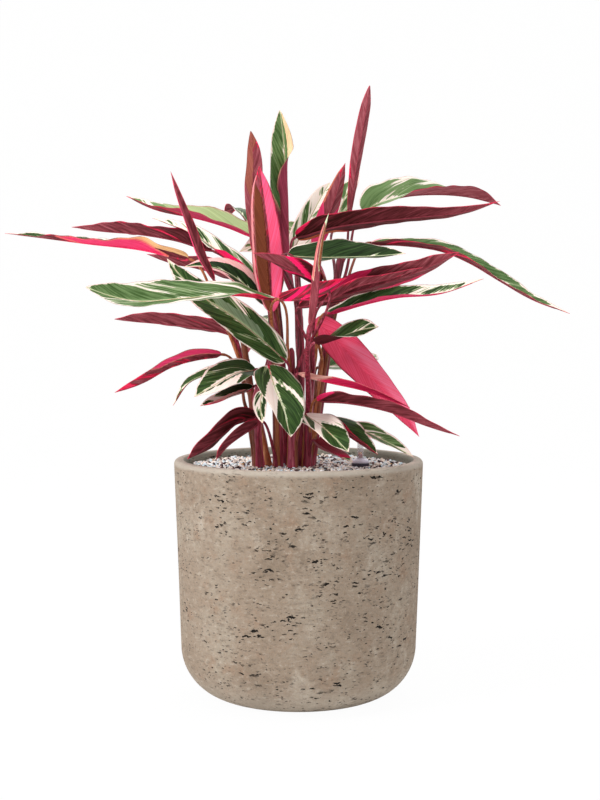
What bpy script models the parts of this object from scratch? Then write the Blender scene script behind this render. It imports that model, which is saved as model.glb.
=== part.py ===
"""Potted stromanthe: a variegated foliage plant in a round fibre-cement pot with a water gauge.

Metres, +Z up. The origin is the centre of the pot's flat base, on the surface that it stands on.
The front of the plant faces -Y.
"""

import math

import bpy
import numpy as np

MM = 0.001
CM = 0.01

# driving dimensions
POT_RIM_RADIUS = 160 * MM
POT_FOOT_RADIUS = 152 * MM      # radius of the wall where the rounded foot begins
POT_HEIGHT = 307 * MM
POT_WALL = 15 * MM
POT_FLOOR = 18 * MM
FOOT_ROUNDING = 67 * MM
RIM_ROUNDING = 5.5 * MM
FILL_HEIGHT = 295.5 * MM        # surface of the mineral substrate
GAUGE_X = 80 * MM
GAUGE_Y = 10 * MM
GAUGE_TUBE_RADIUS = 4.4 * MM
GAUGE_BORE_RADIUS = 3.2 * MM
GAUGE_TOP = 354 * MM
GAUGE_FOOT = 42 * MM            # lower end of the tube, in the wet zone
COLLAR_RADIUS = 11.5 * MM
COLLAR_HEIGHT = 10.5 * MM
STEM_FOOT_RADIUS = 5.9 * MM
STEM_TOP_RADIUS = 3.5 * MM
STALK_RADIUS = 1.9 * MM         # leaf stalk
BLADE_THICKNESS = 1.2 * MM
GAP = 0.3 * MM                  # clearance between pieces that touch

POT_SEGMENTS = 48
TUBE_SEGMENTS = 16
RING_POINTS = 8                 # points around a stem, a stalk or a blade


for old in list(bpy.data.objects):
    bpy.data.objects.remove(old, do_unlink=True)


def material(name, colour, roughness, metallic=0.0):
    """A plain Principled material, colour in linear values."""
    made = bpy.data.materials.new(name)
    made.use_nodes = True
    shader = made.node_tree.nodes["Principled BSDF"]
    shader.inputs["Base Color"].default_value = (*colour, 1.0)
    shader.inputs["Roughness"].default_value = roughness
    shader.inputs["Metallic"].default_value = metallic
    return made


def add_object(name, vertices, faces, surface):
    """A smooth-shaded mesh object with one material."""
    mesh = bpy.data.meshes.new(name)
    mesh.from_pydata([tuple(v) for v in vertices], [], faces)
    mesh.validate()
    mesh.shade_smooth()
    mesh.set_sharp_from_angle(angle=math.radians(40))
    mesh.materials.append(surface)
    made = bpy.data.objects.new(name, mesh)
    bpy.context.collection.objects.link(made)
    return made


def arc(centre_r, centre_z, radius, start_deg, end_deg, steps):
    """Points (r, z) along an arc, both ends included."""
    angles = np.radians(np.linspace(start_deg, end_deg, steps + 1))
    return [(centre_r + radius * math.cos(a), centre_z + radius * math.sin(a)) for a in angles]


def turned(name, profile, segments, surface, centre=(0.0, 0.0)):
    """Turns a profile (r, z) about a vertical axis.

    The profile runs up the outside and down the inside. A point at r = 0 is a single pole,
    and a profile that doesn't start at one is closed back to its first point.
    """
    rings = []
    vertices = []
    for r, z in profile:
        if r == 0.0:
            rings.append([len(vertices)])
            vertices.append((centre[0], centre[1], z))
        else:
            rings.append(list(range(len(vertices), len(vertices) + segments)))
            for k in range(segments):
                a = 2 * math.pi * k / segments
                vertices.append((centre[0] + r * math.cos(a), centre[1] + r * math.sin(a), z))
    if len(rings[0]) > 1:
        rings.append(rings[0])
    faces = []
    for low, high in zip(rings, rings[1:]):
        if len(low) == len(high) == 1:
            continue
        for k in range(segments):
            n = (k + 1) % segments
            if len(low) == 1:
                faces.append((low[0], high[n], high[k]))
            elif len(high) == 1:
                faces.append((low[k], low[n], high[0]))
            else:
                faces.append((low[k], low[n], high[n], high[k]))
    return add_object(name, vertices, faces, surface)


# ---------------------------------------------------------------- pot
CEMENT = material("fibre_cement", (0.42, 0.34, 0.26), 0.9)

inner_rim = POT_RIM_RADIUS - POT_WALL
inner_foot = POT_FOOT_RADIUS - POT_WALL
INNER_ROUNDING = FOOT_ROUNDING - POT_WALL
base_radius = POT_FOOT_RADIUS - FOOT_ROUNDING
inner_foot_z = POT_FLOOR + INNER_ROUNDING

pot_outside = [(0.0, 0.0)]
pot_outside += arc(base_radius, FOOT_ROUNDING, FOOT_ROUNDING, -90, 0, 7)
rim_outside = arc(POT_RIM_RADIUS - RIM_ROUNDING, POT_HEIGHT - RIM_ROUNDING, RIM_ROUNDING, 0, 90, 3)
rim_inside = arc(inner_rim + RIM_ROUNDING, POT_HEIGHT - RIM_ROUNDING, RIM_ROUNDING, 90, 180, 3)
pot_inside = arc(inner_foot - INNER_ROUNDING, inner_foot_z, INNER_ROUNDING, 0, -90, 6)
pot_inside += [(0.0, POT_FLOOR)]
turned("pot", pot_outside + rim_outside + rim_inside + pot_inside, POT_SEGMENTS, CEMENT)


# ---------------------------------------------------------------- water gauge
CLEAR = material("clear_plastic", (0.86, 0.88, 0.92), 0.15)
FROSTED = material("frosted_plastic", (0.66, 0.64, 0.74), 0.35)
RED = material("float_red", (0.40, 0.03, 0.02), 0.4)

gauge_centre = (GAUGE_X, GAUGE_Y)
dome = GAUGE_TUBE_RADIUS
tube_outside = [(GAUGE_TUBE_RADIUS, GAUGE_FOOT)]
tube_outside += arc(0.0, GAUGE_TOP - dome, dome, 0, 60, 2) + [(0.0, GAUGE_TOP)]
tube_inside = [
    (0.0, GAUGE_TOP - dome),
    (GAUGE_BORE_RADIUS, GAUGE_TOP - dome - 1 * MM),
    (GAUGE_BORE_RADIUS, GAUGE_FOOT),
]
turned("gauge_tube", tube_outside + tube_inside, TUBE_SEGMENTS, CLEAR, gauge_centre)

collar_bore = GAUGE_TUBE_RADIUS + GAP
collar_foot = FILL_HEIGHT + GAP
collar_profile = [
    (collar_bore, collar_foot),
    (COLLAR_RADIUS, collar_foot),
    (COLLAR_RADIUS, collar_foot + 0.45 * COLLAR_HEIGHT),
    (0.9 * COLLAR_RADIUS, collar_foot + 0.75 * COLLAR_HEIGHT),
    (0.68 * COLLAR_RADIUS, collar_foot + 0.95 * COLLAR_HEIGHT),
    (collar_bore, collar_foot + COLLAR_HEIGHT),
]
turned("gauge_collar", collar_profile, TUBE_SEGMENTS, FROSTED, gauge_centre)

FLOAT_ROD_RADIUS = 1.0 * MM
FLOAT_BEAD_RADIUS = 2.4 * MM
bead_foot = collar_foot + COLLAR_HEIGHT + 1 * MM
bead_top = bead_foot + 5 * MM
float_profile = [
    (0.0, GAUGE_FOOT + 10 * MM),
    (FLOAT_ROD_RADIUS, GAUGE_FOOT + 10 * MM),
    (FLOAT_ROD_RADIUS, bead_foot),
    (FLOAT_BEAD_RADIUS, bead_foot + 1 * MM),
    (FLOAT_BEAD_RADIUS, bead_top),
    (0.0, bead_top + 1 * MM),
]
turned("gauge_float", float_profile, TUBE_SEGMENTS, RED, gauge_centre)


# ---------------------------------------------------------------- curves, stems and leaves
CURVE_STEPS = 16        # fine steps between two given points of a curve


def smooth_curve(points, count):
    """Catmull-Rom curve through the points, read at count places an equal length apart."""
    p = np.array(points, dtype=float)
    padded = np.vstack([2 * p[0] - p[1], p, 2 * p[-1] - p[-2]])
    fine = []
    for i in range(1, len(padded) - 2):
        a, b, c, d = padded[i - 1 : i + 3]
        bend = 2 * a - 5 * b + 4 * c - d
        twist = 3 * b - a - 3 * c + d
        for t in np.arange(CURVE_STEPS) / CURVE_STEPS:
            fine.append(0.5 * (2 * b + (c - a) * t + bend * t**2 + twist * t**3))
    fine.append(p[-1])
    return even_points(np.array(fine), np.linspace(0.0, 1.0, count))


def place_on(line, marks, s):
    """The point of a polyline where its marks reach s."""
    return np.array([np.interp(s, marks, line[:, k]) for k in range(3)])


def even_points(fine, places):
    """Points at the given shares of a polyline's length."""
    run = np.concatenate([[0.0], np.cumsum(np.linalg.norm(np.diff(fine, axis=0), axis=1))])
    return np.array([place_on(fine, run / run[-1], s) for s in places])


def unit(v):
    return np.array(v) / np.linalg.norm(v)


def directions(line):
    """Unit direction of travel at each point of a polyline."""
    return [unit(d) for d in np.gradient(line, axis=0)]


def skin(rings, first_tip, last_tip):
    """Vertices and triangles of a tube through equal rings of points, closed by a tip point at each end.

    Quads on opposite sides of a flat ring are cut along the same diagonal, so a thin blade
    never crosses itself.
    """
    n = len(rings[0])
    vertices = [first_tip] + [p for ring in rings for p in ring] + [last_tip]
    faces = []
    for k in range(n):
        faces.append((0, 1 + (k + 1) % n, 1 + k))
    for i in range(len(rings) - 1):
        for k in range(n):
            a = 1 + i * n + k
            b = 1 + i * n + (k + 1) % n
            c = b + n
            d = a + n
            if k < n // 2:
                faces.append((a, b, c))
                faces.append((a, c, d))
            else:
                faces.append((a, b, d))
                faces.append((b, c, d))
    last = len(vertices) - 1
    base = 1 + (len(rings) - 1) * n
    for k in range(n):
        faces.append((base + k, base + (k + 1) % n, last))
    return vertices, faces


def round_ring(centre, side, normal, radius):
    """Ring of points about a centre. It starts at -side and passes over +normal."""
    turns = [math.pi - 2 * math.pi * k / RING_POINTS for k in range(RING_POINTS)]
    return [centre + radius * (math.cos(a) * side + math.sin(a) * normal) for a in turns]


STEM_SECTIONS = 7
STEM_MATERIAL = material("stem", (0.16, 0.03, 0.03), 0.5)
stem_axes = {}
stem_shapes = {}


def stem_radius(share):
    return STEM_FOOT_RADIUS + (STEM_TOP_RADIUS - STEM_FOOT_RADIUS) * share


def stem_rings(axis, extra):
    """Rings of a stem, grown outwards by extra, with its two tips."""
    travel = directions(axis)
    rings = []
    for i, point in enumerate(axis):
        normal = unit(np.cross(travel[i], (0.0, 1.0, 0.0)))
        side = np.cross(travel[i], normal)
        rings.append(round_ring(point, side, normal, stem_radius(i / (len(axis) - 1)) + extra))
    foot = axis[0] - travel[0] * extra
    rings[0] = [p - travel[0] * extra for p in rings[0]]
    top = axis[-1] + travel[-1] * (STEM_TOP_RADIUS + extra)
    return rings, foot, top


def stem(name, *points):
    """A cane: a tapering round stalk through points given in centimetres."""
    axis = smooth_curve(np.array(points) * CM, STEM_SECTIONS)
    stem_axes[name] = axis
    rings, foot, top = stem_rings(axis, 0.0)
    vertices, faces = skin(rings, foot, top)
    stem_shapes[name] = stem_rings(axis, GAP)
    add_object(name, vertices, faces, STEM_MATERIAL)


stem("stem_1_left", (-5.0, -1.4, 27), (-5.4, -1.8, 32.5), (-6.0, -2.4, 39), (-7.2, -3.3, 47.5))
stem("stem_2_left_back", (-3.6, 1.2, 27), (-4.7, 1.5, 33), (-6.6, 2.0, 40.5), (-9.1, 2.8, 48.5))
stem("stem_3_middle", (-2.5, -0.6, 27), (-2.6, -0.9, 35), (-3.0, -1.4, 43), (-3.5, -2.0, 48))
stem("stem_4_middle_back", (-1.7, 1.5, 27), (-2.0, 2.1, 37), (-2.7, 3.2, 47), (-3.9, 4.6, 56))
stem("stem_5_front", (-0.8, -1.9, 27), (-0.7, -2.1, 33), (-0.7, -2.4, 39), (-0.9, -2.9, 45))
stem("stem_6_back", (-0.3, 1.0, 27), (0.1, 1.3, 37), (0.2, 1.8, 47), (-0.2, 2.4, 55))
stem("stem_7_right", (0.9, -0.8, 27), (1.1, -0.9, 33), (1.5, -1.2, 39), (2.0, -1.65, 45.7))
stem("stem_8_right_back", (1.0, 0.7, 27), (2.0, 1.0, 34), (3.5, 1.9, 44), (5.4, 3.2, 57))


# Places along a blade, from its base to just before its tip, where its section is drawn.
BLADE_PLACES = (0.06, 0.18, 0.33, 0.5, 0.66, 0.81, 0.93)
BLADE_STEPS = 32        # fine steps along the middle of a blade
STALK_SECTIONS = 4
STALK_STEPS = 24        # fine steps along a leaf stalk
STALK_FLARE = 0.5       # how far a stalk turns away from its stem where it leaves it
STALK_LEAVE = 1.1       # pull of a stalk's foot and of its top on its curve,
STALK_ARRIVE = 0.8      # over the distance between them
OUTLINE_POWER = 1.17    # below 1 a blade is blunt, above 2 it is a thin spindle
LEAF_MATERIAL = material("leaf", (0.07, 0.16, 0.06), 0.4)


def outline(s, widest):
    """Width of a blade over its greatest width, s from 0 at the base to 1 at the drip tip."""
    rise = OUTLINE_POWER * widest
    fall = OUTLINE_POWER * (1 - widest)
    return s**rise * (1 - s) ** fall / (widest**rise * (1 - widest) ** fall)


def square_to(normal, travel):
    """The part of a direction that is square to the direction of travel, as a unit vector."""
    return unit(np.array(normal) - np.dot(normal, travel) * np.array(travel))


def stalk_curve(stem_name, height, blade_base, blade_travel):
    """A leaf stalk's curve, from the side of its stem up to the base of its blade."""
    axis = stem_axes[stem_name]
    share = np.interp(height * CM, axis[:, 2], np.linspace(0.0, 1.0, len(axis)))
    travel = unit(axis[-1] - axis[0])
    centre = place_on(axis, axis[:, 2], height * CM)
    outward = square_to(blade_base - centre, travel)
    start = centre + outward * (stem_radius(share) + STALK_RADIUS + 2 * GAP)
    reach = np.linalg.norm(blade_base - start)
    leave = unit(travel + STALK_FLARE * outward) * reach * STALK_LEAVE
    arrive = blade_travel * reach * STALK_ARRIVE
    t = np.linspace(0.0, 1.0, STALK_STEPS)[:, None]
    return (
        (2 * t**3 - 3 * t**2 + 1) * start
        + (t**3 - 2 * t**2 + t) * leave
        + (3 * t**2 - 2 * t**3) * blade_base
        + (t**3 - t**2) * arrive
    )


def leaf(name, stem_name, height, width, points, face, tip_face=None, fold=20, widest=0.36):
    """One leaf: its stalk and blade in one piece.

    height is where the stalk leaves the stem, width is the blade's greatest width, and points
    lead along the middle of the blade from its base to its tip, all in centimetres. face and
    tip_face are the directions that the upper side looks in at the base and at the tip. fold is
    how far each half is lifted out of flat, in degrees, and widest is where along the blade it
    is widest.
    """
    midrib = smooth_curve(np.array(points) * CM, BLADE_STEPS + 1)
    blade_travel = unit(midrib[1] - midrib[0])
    whole_stalk = stalk_curve(stem_name, height, midrib[0], blade_travel)
    stalk = even_points(whole_stalk, np.linspace(0.0, 1.0, STALK_SECTIONS + 1))
    face = np.array(face, dtype=float)
    tip_face = face if tip_face is None else np.array(tip_face, dtype=float)
    places = np.linspace(0.0, 1.0, len(midrib))
    blade = [place_on(midrib, places, s) for s in BLADE_PLACES]
    blade_directions = directions(midrib)

    rings = []
    lift = math.radians(fold)
    for s, centre in zip(BLADE_PLACES, blade):
        travel = blade_directions[round(s * BLADE_STEPS)]
        normal = square_to((1 - s) * face + s * tip_face, travel)
        side = np.cross(travel, normal)
        half = 0.5 * width * CM * outline(s, widest)
        spread = half * math.cos(lift)
        rise = half * math.sin(lift)
        thick = normal * BLADE_THICKNESS / 2
        centre = centre - normal * rise / 2
        left = centre - side * spread + normal * rise
        right = centre + side * spread + normal * rise
        left_half = centre - side * spread / 2 + normal * rise / 2
        right_half = centre + side * spread / 2 + normal * rise / 2
        top = [left, left_half + thick, centre + thick, right_half + thick]
        bottom = [right, right_half - thick, centre - thick, left_half - thick]
        rings.append(top + bottom)

    normal = square_to(face, blade_travel)
    stalk_rings = []
    stalk_directions = directions(stalk)
    for i in range(STALK_SECTIONS, -1, -1):
        normal = square_to(normal, stalk_directions[i])
        side = np.cross(stalk_directions[i], normal)
        stalk_rings.insert(0, round_ring(stalk[i], side, normal, STALK_RADIUS))

    vertices, faces = skin(stalk_rings + rings, stalk[0], midrib[-1])
    add_object(name, vertices, faces, LEAF_MATERIAL)


leaf("leaf_01_far_left", "stem_2_left_back", height=47.3, width=4.6,
     face=(0, 0.45, 1), tip_face=(0, -0.3, 1), fold=20, widest=0.3,
     points=((-14.1, 1, 56.3), (-20.2, 2, 57.9), (-27.5, 4, 58.7), (-34, 6, 59.4), (-38.9, 7.5, 59.8)))
leaf("leaf_02_far_left_upper", "stem_4_middle_back", height=50, width=4.2,
     face=(0, 0.5, 1), fold=25,
     points=((-11.2, 4, 57.4), (-15.5, 6, 59.1), (-20.9, 9, 60.1), (-26.5, 12, 60.5), (-31, 14, 60.9)))
leaf("leaf_03_left_cream", "stem_4_middle_back", height=47, width=3.4,
     face=(0.3, -0.5, 0.8), fold=25,
     points=((-5, -0.1, 53.7), (-9.1, 1.5, 56.7), (-13.2, 3.5, 59.6), (-17, 5.5, 61.1), (-19.3, 7, 61.8)))
leaf("leaf_04_upper_left", "stem_4_middle_back", height=54, width=4.8,
     face=(0.3, -0.5, 1), tip_face=(0, -0.1, 1), fold=32,
     points=((-5.6, 5, 59.4), (-9.3, 7, 61.2), (-13.6, 9, 62.5), (-19, 11.5, 63.5), (-23.5, 14, 65.1)))
leaf("leaf_05_back_left", "stem_4_middle_back", height=55.5, width=2.6,
     face=(0, 0.2, 1), tip_face=(0, 0.8, 1), fold=20,
     points=((-5.7, 7.5, 59.8), (-7.4, 10, 62.5), (-9, 14, 63.6), (-10.2, 18, 62.1)))
leaf("leaf_06_left_spear", "stem_3_middle", height=45, width=1.6,
     face=(0.3, 0.9, 0.2), fold=35,
     points=((-10.5, -5.5, 53.5), (-12, -6, 56.4), (-13.4, -6.5, 60.2), (-14.8, -7, 64), (-15.7, -7, 66.8)))
leaf("leaf_07_front_left_long", "stem_5_front", height=43, width=5.8,
     face=(0, -0.25, 1), tip_face=(0, -0.75, 0.7), fold=22, widest=0.52,
     points=((-2.7, -6.5, 51.2), (-7.6, -9, 52.1), (-13.2, -11, 51.8),
             (-18.8, -12.5, 51.3), (-22.4, -13.5, 51.8), (-25.3, -14, 52.6)))
leaf("leaf_08_left_broad", "stem_5_front", height=38.5, width=4.5,
     face=(-0.3, -0.75, 0.6), fold=15,
     points=((-1.6, -4.5, 43.4), (-4.1, -5.5, 45.8), (-7.9, -6, 48.9),
             (-11.8, -6, 51.5), (-14.6, -5.5, 54), (-16.4, -5, 56.2)))
leaf("leaf_09_left_dark", "stem_1_left", height=38, width=4.6,
     face=(0, -0.5, 0.85), fold=20,
     points=((-4.2, -1.4, 50.6), (-6.6, -2.2, 53.2), (-9.4, -2.6, 55),
             (-12.3, -2.5, 55.5), (-14.5, -2, 55.2)))
leaf("leaf_10_left_maroon", "stem_4_middle_back", height=45.5, width=4.2,
     face=(0, 0.5, 0.85), fold=20,
     points=((-5, 1.8, 52.2), (-8.1, 2.6, 54.1), (-12.2, 3.4, 55.3), (-16.4, 4.4, 56), (-19.9, 5.4, 57)))
leaf("leaf_11_left_low_maroon", "stem_4_middle_back", height=38, width=4.6,
     face=(0, 0.5, 0.9), fold=20, widest=0.45,
     points=((-4.8, 3.6, 44.5), (-9.1, 6.3, 46.8), (-14.4, 8, 47.8), (-19.8, 9.5, 48.2), (-24.9, 11, 48.4)))
leaf("leaf_12_left_curved", "stem_2_left_back", height=39, width=3.2,
     face=(-0.1, 0.5, 0.85), tip_face=(-0.5, 0.5, 0.6), fold=25,
     points=((-9.8, -4, 44.2), (-12.6, -6, 44), (-15.8, -8, 43.1), (-19, -10, 41.2), (-22.2, -12, 39.9)))
leaf("leaf_13_front_left_green", "stem_1_left", height=38.5, width=5.3,
     face=(-0.3, -0.85, 0.65), fold=15,
     points=((-5.3, -5, 42.4), (-7.7, -7.5, 42.3), (-10.4, -10.5, 40.8), (-12.6, -12, 39.4)))
leaf("leaf_14_left_grey", "stem_1_left", height=37.2, width=2.4,
     face=(-0.3, -0.35, 0.9), tip_face=(-0.8, -0.3, 0.4), fold=20,
     points=((-7.9, -3, 42.9), (-10.8, -3, 42.1), (-14, -3, 40.7), (-15.9, -3, 37.7)))
leaf("leaf_15_front_left_low", "stem_1_left", height=36.5, width=3.2,
     face=(-0.2, -0.4, 0.9), fold=25,
     points=((-5.5, -7, 40.4), (-8.1, -9, 39.7), (-9.9, -10.5, 38.9), (-11.9, -12, 38.3)))
leaf("leaf_16_front_middle", "stem_5_front", height=35.5, width=6.3,
     face=(0.05, -0.6, 0.8), tip_face=(0.75, -0.9, 0.14), fold=20, widest=0.46,
     points=((-3.75, -5.6, 42.9), (-2.75, -9.4, 40.7), (-1.55, -12.4, 38.1), (-0.95, -14, 34.7)))
leaf("leaf_17_front_left_small", "stem_5_front", height=34.5, width=1.9,
     face=(-0.4, -0.9, 0.3), fold=15,
     points=((-4.4, -9.2, 40), (-4.7, -9.6, 38.3), (-4.4, -10, 36)))
leaf("leaf_18_rim_left_dark", "stem_1_left", height=33.5, width=4.4,
     face=(-0.3, 0.5, 0.8), tip_face=(-0.5, 0.6, 0.6), fold=20,
     points=((-5.4, -3.5, 36.5), (-7.8, -4.5, 36), (-10.7, -5.5, 33.6), (-13.9, -6, 31.2)))
leaf("leaf_19_rim_left_narrow", "stem_3_middle", height=31, width=2.9,
     face=(-0.3, 0.5, 0.8), fold=30,
     points=((-5.1, -5, 35.8), (-7.2, -6.5, 34.6), (-9, -7.5, 33.1), (-10.2, -8, 31.3)))
leaf("leaf_20_upright_left", "stem_4_middle_back", height=51.5, width=2.6,
     face=(0.3, 0.95, 0), fold=20, widest=0.55,
     points=((-5.5, 1.5, 55.8), (-5.6, 1, 60), (-5.8, 0.5, 65), (-5.7, 0.5, 69), (-6.1, 0.5, 72.5)))
leaf("leaf_21_upright_salmon", "stem_3_middle", height=47, width=4.2,
     face=(0.2, 1, 0.1), fold=15, widest=0.42,
     points=((-3.4, -2.9, 49.5), (-3.8, -2.8, 54), (-4.1, -3.2, 58.9),
             (-4.6, -3.6, 63.8), (-4.9, -4, 67.7)))
leaf("leaf_22_upright_tall", "stem_6_back", height=43.5, width=4.4,
     face=(-0.2, -1, 0), fold=30, widest=0.56,
     points=((-0.5, 4.1, 51), (-1.35, 3.7, 57.2), (-1.6, 2.8, 64.5), (-2, 2.4, 71.3), (-2.4, 2, 75.3)))
leaf("leaf_23_tallest", "stem_8_right_back", height=56, width=1.9,
     face=(-0.3, 0.9, 0.1), fold=30, widest=0.62,
     points=((6.5, 4, 60.7), (6.8, 4, 63.7), (7.3, 4, 67.8), (8, 4, 71.9), (8.7, 4, 75.8), (9.2, 4, 78.7)))
leaf("leaf_24_upright_right", "stem_8_right_back", height=52, width=2.8,
     face=(-0.3, 0.95, 0.1), fold=25,
     points=((2.2, 3, 57.6), (3.2, 3, 60.6), (4.4, 2.5, 63.6), (5.3, 2, 66.4), (6, 2, 68.6)))
leaf("leaf_25_back_cream", "stem_4_middle_back", height=51, width=3.5,
     face=(0.3, -0.9, 0.4), fold=15, widest=0.42,
     points=((-1.2, 6.4, 56.6), (0.9, 7.8, 60.6), (2.8, 9.8, 64.3), (4.2, 12, 66.8)))
leaf("leaf_26_back_right", "stem_8_right_back", height=54, width=3,
     face=(-0.2, -0.9, 0.4), fold=15,
     points=((4.4, 8, 59.8), (5.5, 11, 63.1), (6.8, 14, 66.1), (8.4, 17, 68.5)))
leaf("leaf_27_right_long_maroon", "stem_6_back", height=53, width=4.2,
     face=(0, 0.6, 0.8), fold=20, widest=0.25,
     points=((-0.3, -0.5, 59), (4, -1, 60.4), (8.9, -2, 61.1),
             (14.8, -3, 61.6), (20.6, -4, 62.1), (25, -5, 63.3)))
leaf("leaf_28_upper_right", "stem_8_right_back", height=52.5, width=6.2,
     face=(-0.35, -1.1, 0.8), tip_face=(0, 0.45, 0.9), fold=33,
     points=((8.4, 5, 62.7), (10.8, 6.5, 64.4), (14.6, 8.5, 65.6),
             (19, 11, 65.9), (23.4, 12.5, 65.3), (27.5, 13.5, 63.8)))
leaf("leaf_29_right_drooping", "stem_8_right_back", height=51, width=3.6,
     face=(0.2, -0.2, 0.95), tip_face=(0.3, -0.4, 0.9), fold=30,
     points=((9.2, 2, 58.4), (13.1, 1, 58.5), (17.9, -1, 57.8),
             (21.7, -3, 56.1), (25.3, -5, 53.7), (28.9, -7.5, 51.3), (33, -10, 49.4)))
leaf("leaf_30_front_right_dark", "stem_6_back", height=50, width=5.2,
     face=(0, -0.55, 0.83), fold=25,
     points=((-1.3, -6.8, 56.7), (1.9, -7.7, 56.7), (5.7, -8.6, 56.7), (10, -9.5, 56.7), (13, -10, 56.7)))
leaf("leaf_31_front_spear", "stem_7_right", height=36, width=2.2,
     face=(-0.3, 0.9, 0), fold=60,
     points=((1.4, -12.2, 47.9), (2, -13.9, 51), (2.3, -13.9, 54.8),
             (2.8, -13.3, 58.3), (3.6, -12.6, 61.4)))
leaf("leaf_32_front_crossing", "stem_5_front", height=41.5, width=3.7,
     face=(0, 0.55, 0.8), fold=20, widest=0.27,
     points=((2.8, -9.8, 53.2), (0.2, -9.8, 54.6), (-2.7, -9.4, 55.8), (-5.6, -9, 56.8)))
leaf("leaf_33_front_short", "stem_3_middle", height=44, width=3.2,
     face=(0, 0.6, 0.8), fold=20,
     points=((-2.3, -9, 51.2), (0.5, -11, 51.5), (3.2, -12, 52.5), (5.8, -12, 53.7)))
leaf("leaf_34_right_maroon_pink", "stem_7_right", height=45, width=5,
     face=(-0.1, 0.65, 0.8), fold=20, widest=0.4,
     points=((0.1, -3.5, 50.1), (4.2, -4.6, 51.6), (9, -6.8, 53), (14.6, -9.5, 54.8), (19.3, -12, 56.8)))
leaf("leaf_35_right_thin_maroon", "stem_7_right", height=41, width=2.2,
     face=(0, 0.4, 0.9), fold=25,
     points=((3.3, -7.2, 50.9), (6.7, -8.5, 52.8), (11, -9.5, 53.8), (15, -10.5, 55)))
leaf("leaf_36_right_green_long", "stem_7_right", height=43, width=3.3,
     face=(0.25, -0.65, 0.9), fold=35,
     points=((3.4, -5, 49.4), (7.7, -7.5, 50.9), (11.9, -10, 51.8), (16.9, -12, 52.1), (22, -14, 53.6)))
leaf("leaf_37_right_hanging", "stem_8_right_back", height=43, width=4.4,
     face=(0.2, 0.95, 0.2), fold=10, widest=0.3,
     points=((2, -2, 48.5), (4.5, -2.5, 46.2), (7.4, -3, 43.2),
             (10.6, -3, 39.7), (13.2, -3, 36.8), (15.3, -3, 33.7)))
leaf("leaf_38_right_small_twist", "stem_7_right", height=38.5, width=4.8,
     face=(0, 0.2, 0.9), tip_face=(0, -0.9, 0.5), fold=20, widest=0.32,
     points=((2.1, -6, 45.8), (4.6, -7, 46.7), (7.3, -8, 47.5), (9.8, -9, 47.8)))
leaf("leaf_39_right_thin_crimson", "stem_5_front", height=37, width=2.2,
     face=(0, 0.4, 0.9), fold=25,
     points=((0.1, -4.3, 41.8), (3.8, -6.4, 41.1), (8.6, -8.5, 40), (13.6, -10.5, 38)))
leaf("leaf_40_right_low_maroon", "stem_7_right", height=34, width=4.1,
     face=(0.1, 0.45, 0.9), fold=20,
     points=((2.4, -5, 38.6), (6.2, -8, 38.7), (10.9, -11, 37.9), (15.4, -13, 36.2), (19.2, -15, 34.9)))
leaf("leaf_41_front_right_cream", "stem_5_front", height=33, width=4.7,
     face=(0.3, -0.85, 0.6), fold=15, widest=0.44,
     points=((0.8, -5, 36.8), (2.5, -8.5, 36.1), (4.2, -12, 34.8), (6, -14, 32.9)))
leaf("leaf_42_front_right_low", "stem_7_right", height=32.5, width=4.6,
     face=(0.35, -0.15, 0.9), fold=36,
     points=((3.9, -4.5, 36.4), (6, -7, 35.2), (8, -9, 33.7), (9.7, -10, 32.2)))
leaf("leaf_43_rim_right_striped", "stem_8_right_back", height=32.5, width=3.2,
     face=(0.3, -0.5, 0.8), fold=20,
     points=((6.4, -2.5, 35.3), (8.8, -3.5, 34.5), (11.5, -4.5, 33.2), (14.4, -5, 31.4)))
leaf("leaf_44_low_right_bit", "stem_7_right", height=31, width=2.8,
     face=(0.3, -0.4, 0.85), fold=20,
     points=((2, -3, 33.3), (3.6, -4, 32.4), (5.4, -5, 31.5), (6.8, -6, 30.8)))
leaf("leaf_45_back_right_low", "stem_8_right_back", height=38, width=4.4,
     face=(0, -0.7, 0.7), fold=15, widest=0.5,
     points=((2.6, 3, 42.3), (5.5, 6, 42.7), (8.2, 10, 43.2), (10.7, 14, 43.5)))
leaf("leaf_46_back_low", "stem_4_middle_back", height=42, width=3.8,
     face=(0, 0.3, 1), tip_face=(0, 0.8, 0.7), fold=20,
     points=((-3.0, 5.5, 46.3), (-4.8, 12, 49), (-6.3, 19, 47.6), (-7.5, 25, 43)))
leaf("leaf_47_back_middle", "stem_8_right_back", height=50, width=4.4,
     face=(0.1, -0.9, 0.45), tip_face=(0.1, -0.8, 0.6), fold=12, widest=0.34,
     points=((1.6, 9.4, 57.2), (-1.0, 10, 59.6), (-3.4, 10.6, 59.7), (-5.6, 11.2, 58.6), (-8, 11.8, 57.5)))

# ---------------------------------------------------------------- substrate
GRANULES = material("mineral_granules", (0.62, 0.58, 0.54), 0.95)

wall_height = POT_HEIGHT - RIM_ROUNDING - inner_foot_z
fill_rim = inner_foot + (inner_rim - inner_foot) * (FILL_HEIGHT - inner_foot_z) / wall_height
fill_profile = [(0.0, POT_FLOOR + GAP)]
fill_profile += arc(inner_foot - INNER_ROUNDING, inner_foot_z, INNER_ROUNDING - GAP, -90, 0, 6)
fill_profile += [(fill_rim - GAP, FILL_HEIGHT), (0.0, FILL_HEIGHT)]
substrate = turned("substrate", fill_profile, POT_SEGMENTS, GRANULES)


def pocket(name, vertices, faces):
    """Cuts a pocket of the given shape into the substrate."""
    cutter = add_object(name, vertices, faces, GRANULES)
    cutter.hide_render = True
    cutter.display_type = "WIRE"
    cut = substrate.modifiers.new(name, "BOOLEAN")
    cut.object = cutter
    cut.operation = "DIFFERENCE"
    cut.solver = "EXACT"


for stem_name, (rings, foot, top) in stem_shapes.items():
    pocket("cut_" + stem_name, *skin(rings, foot, top))

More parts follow.
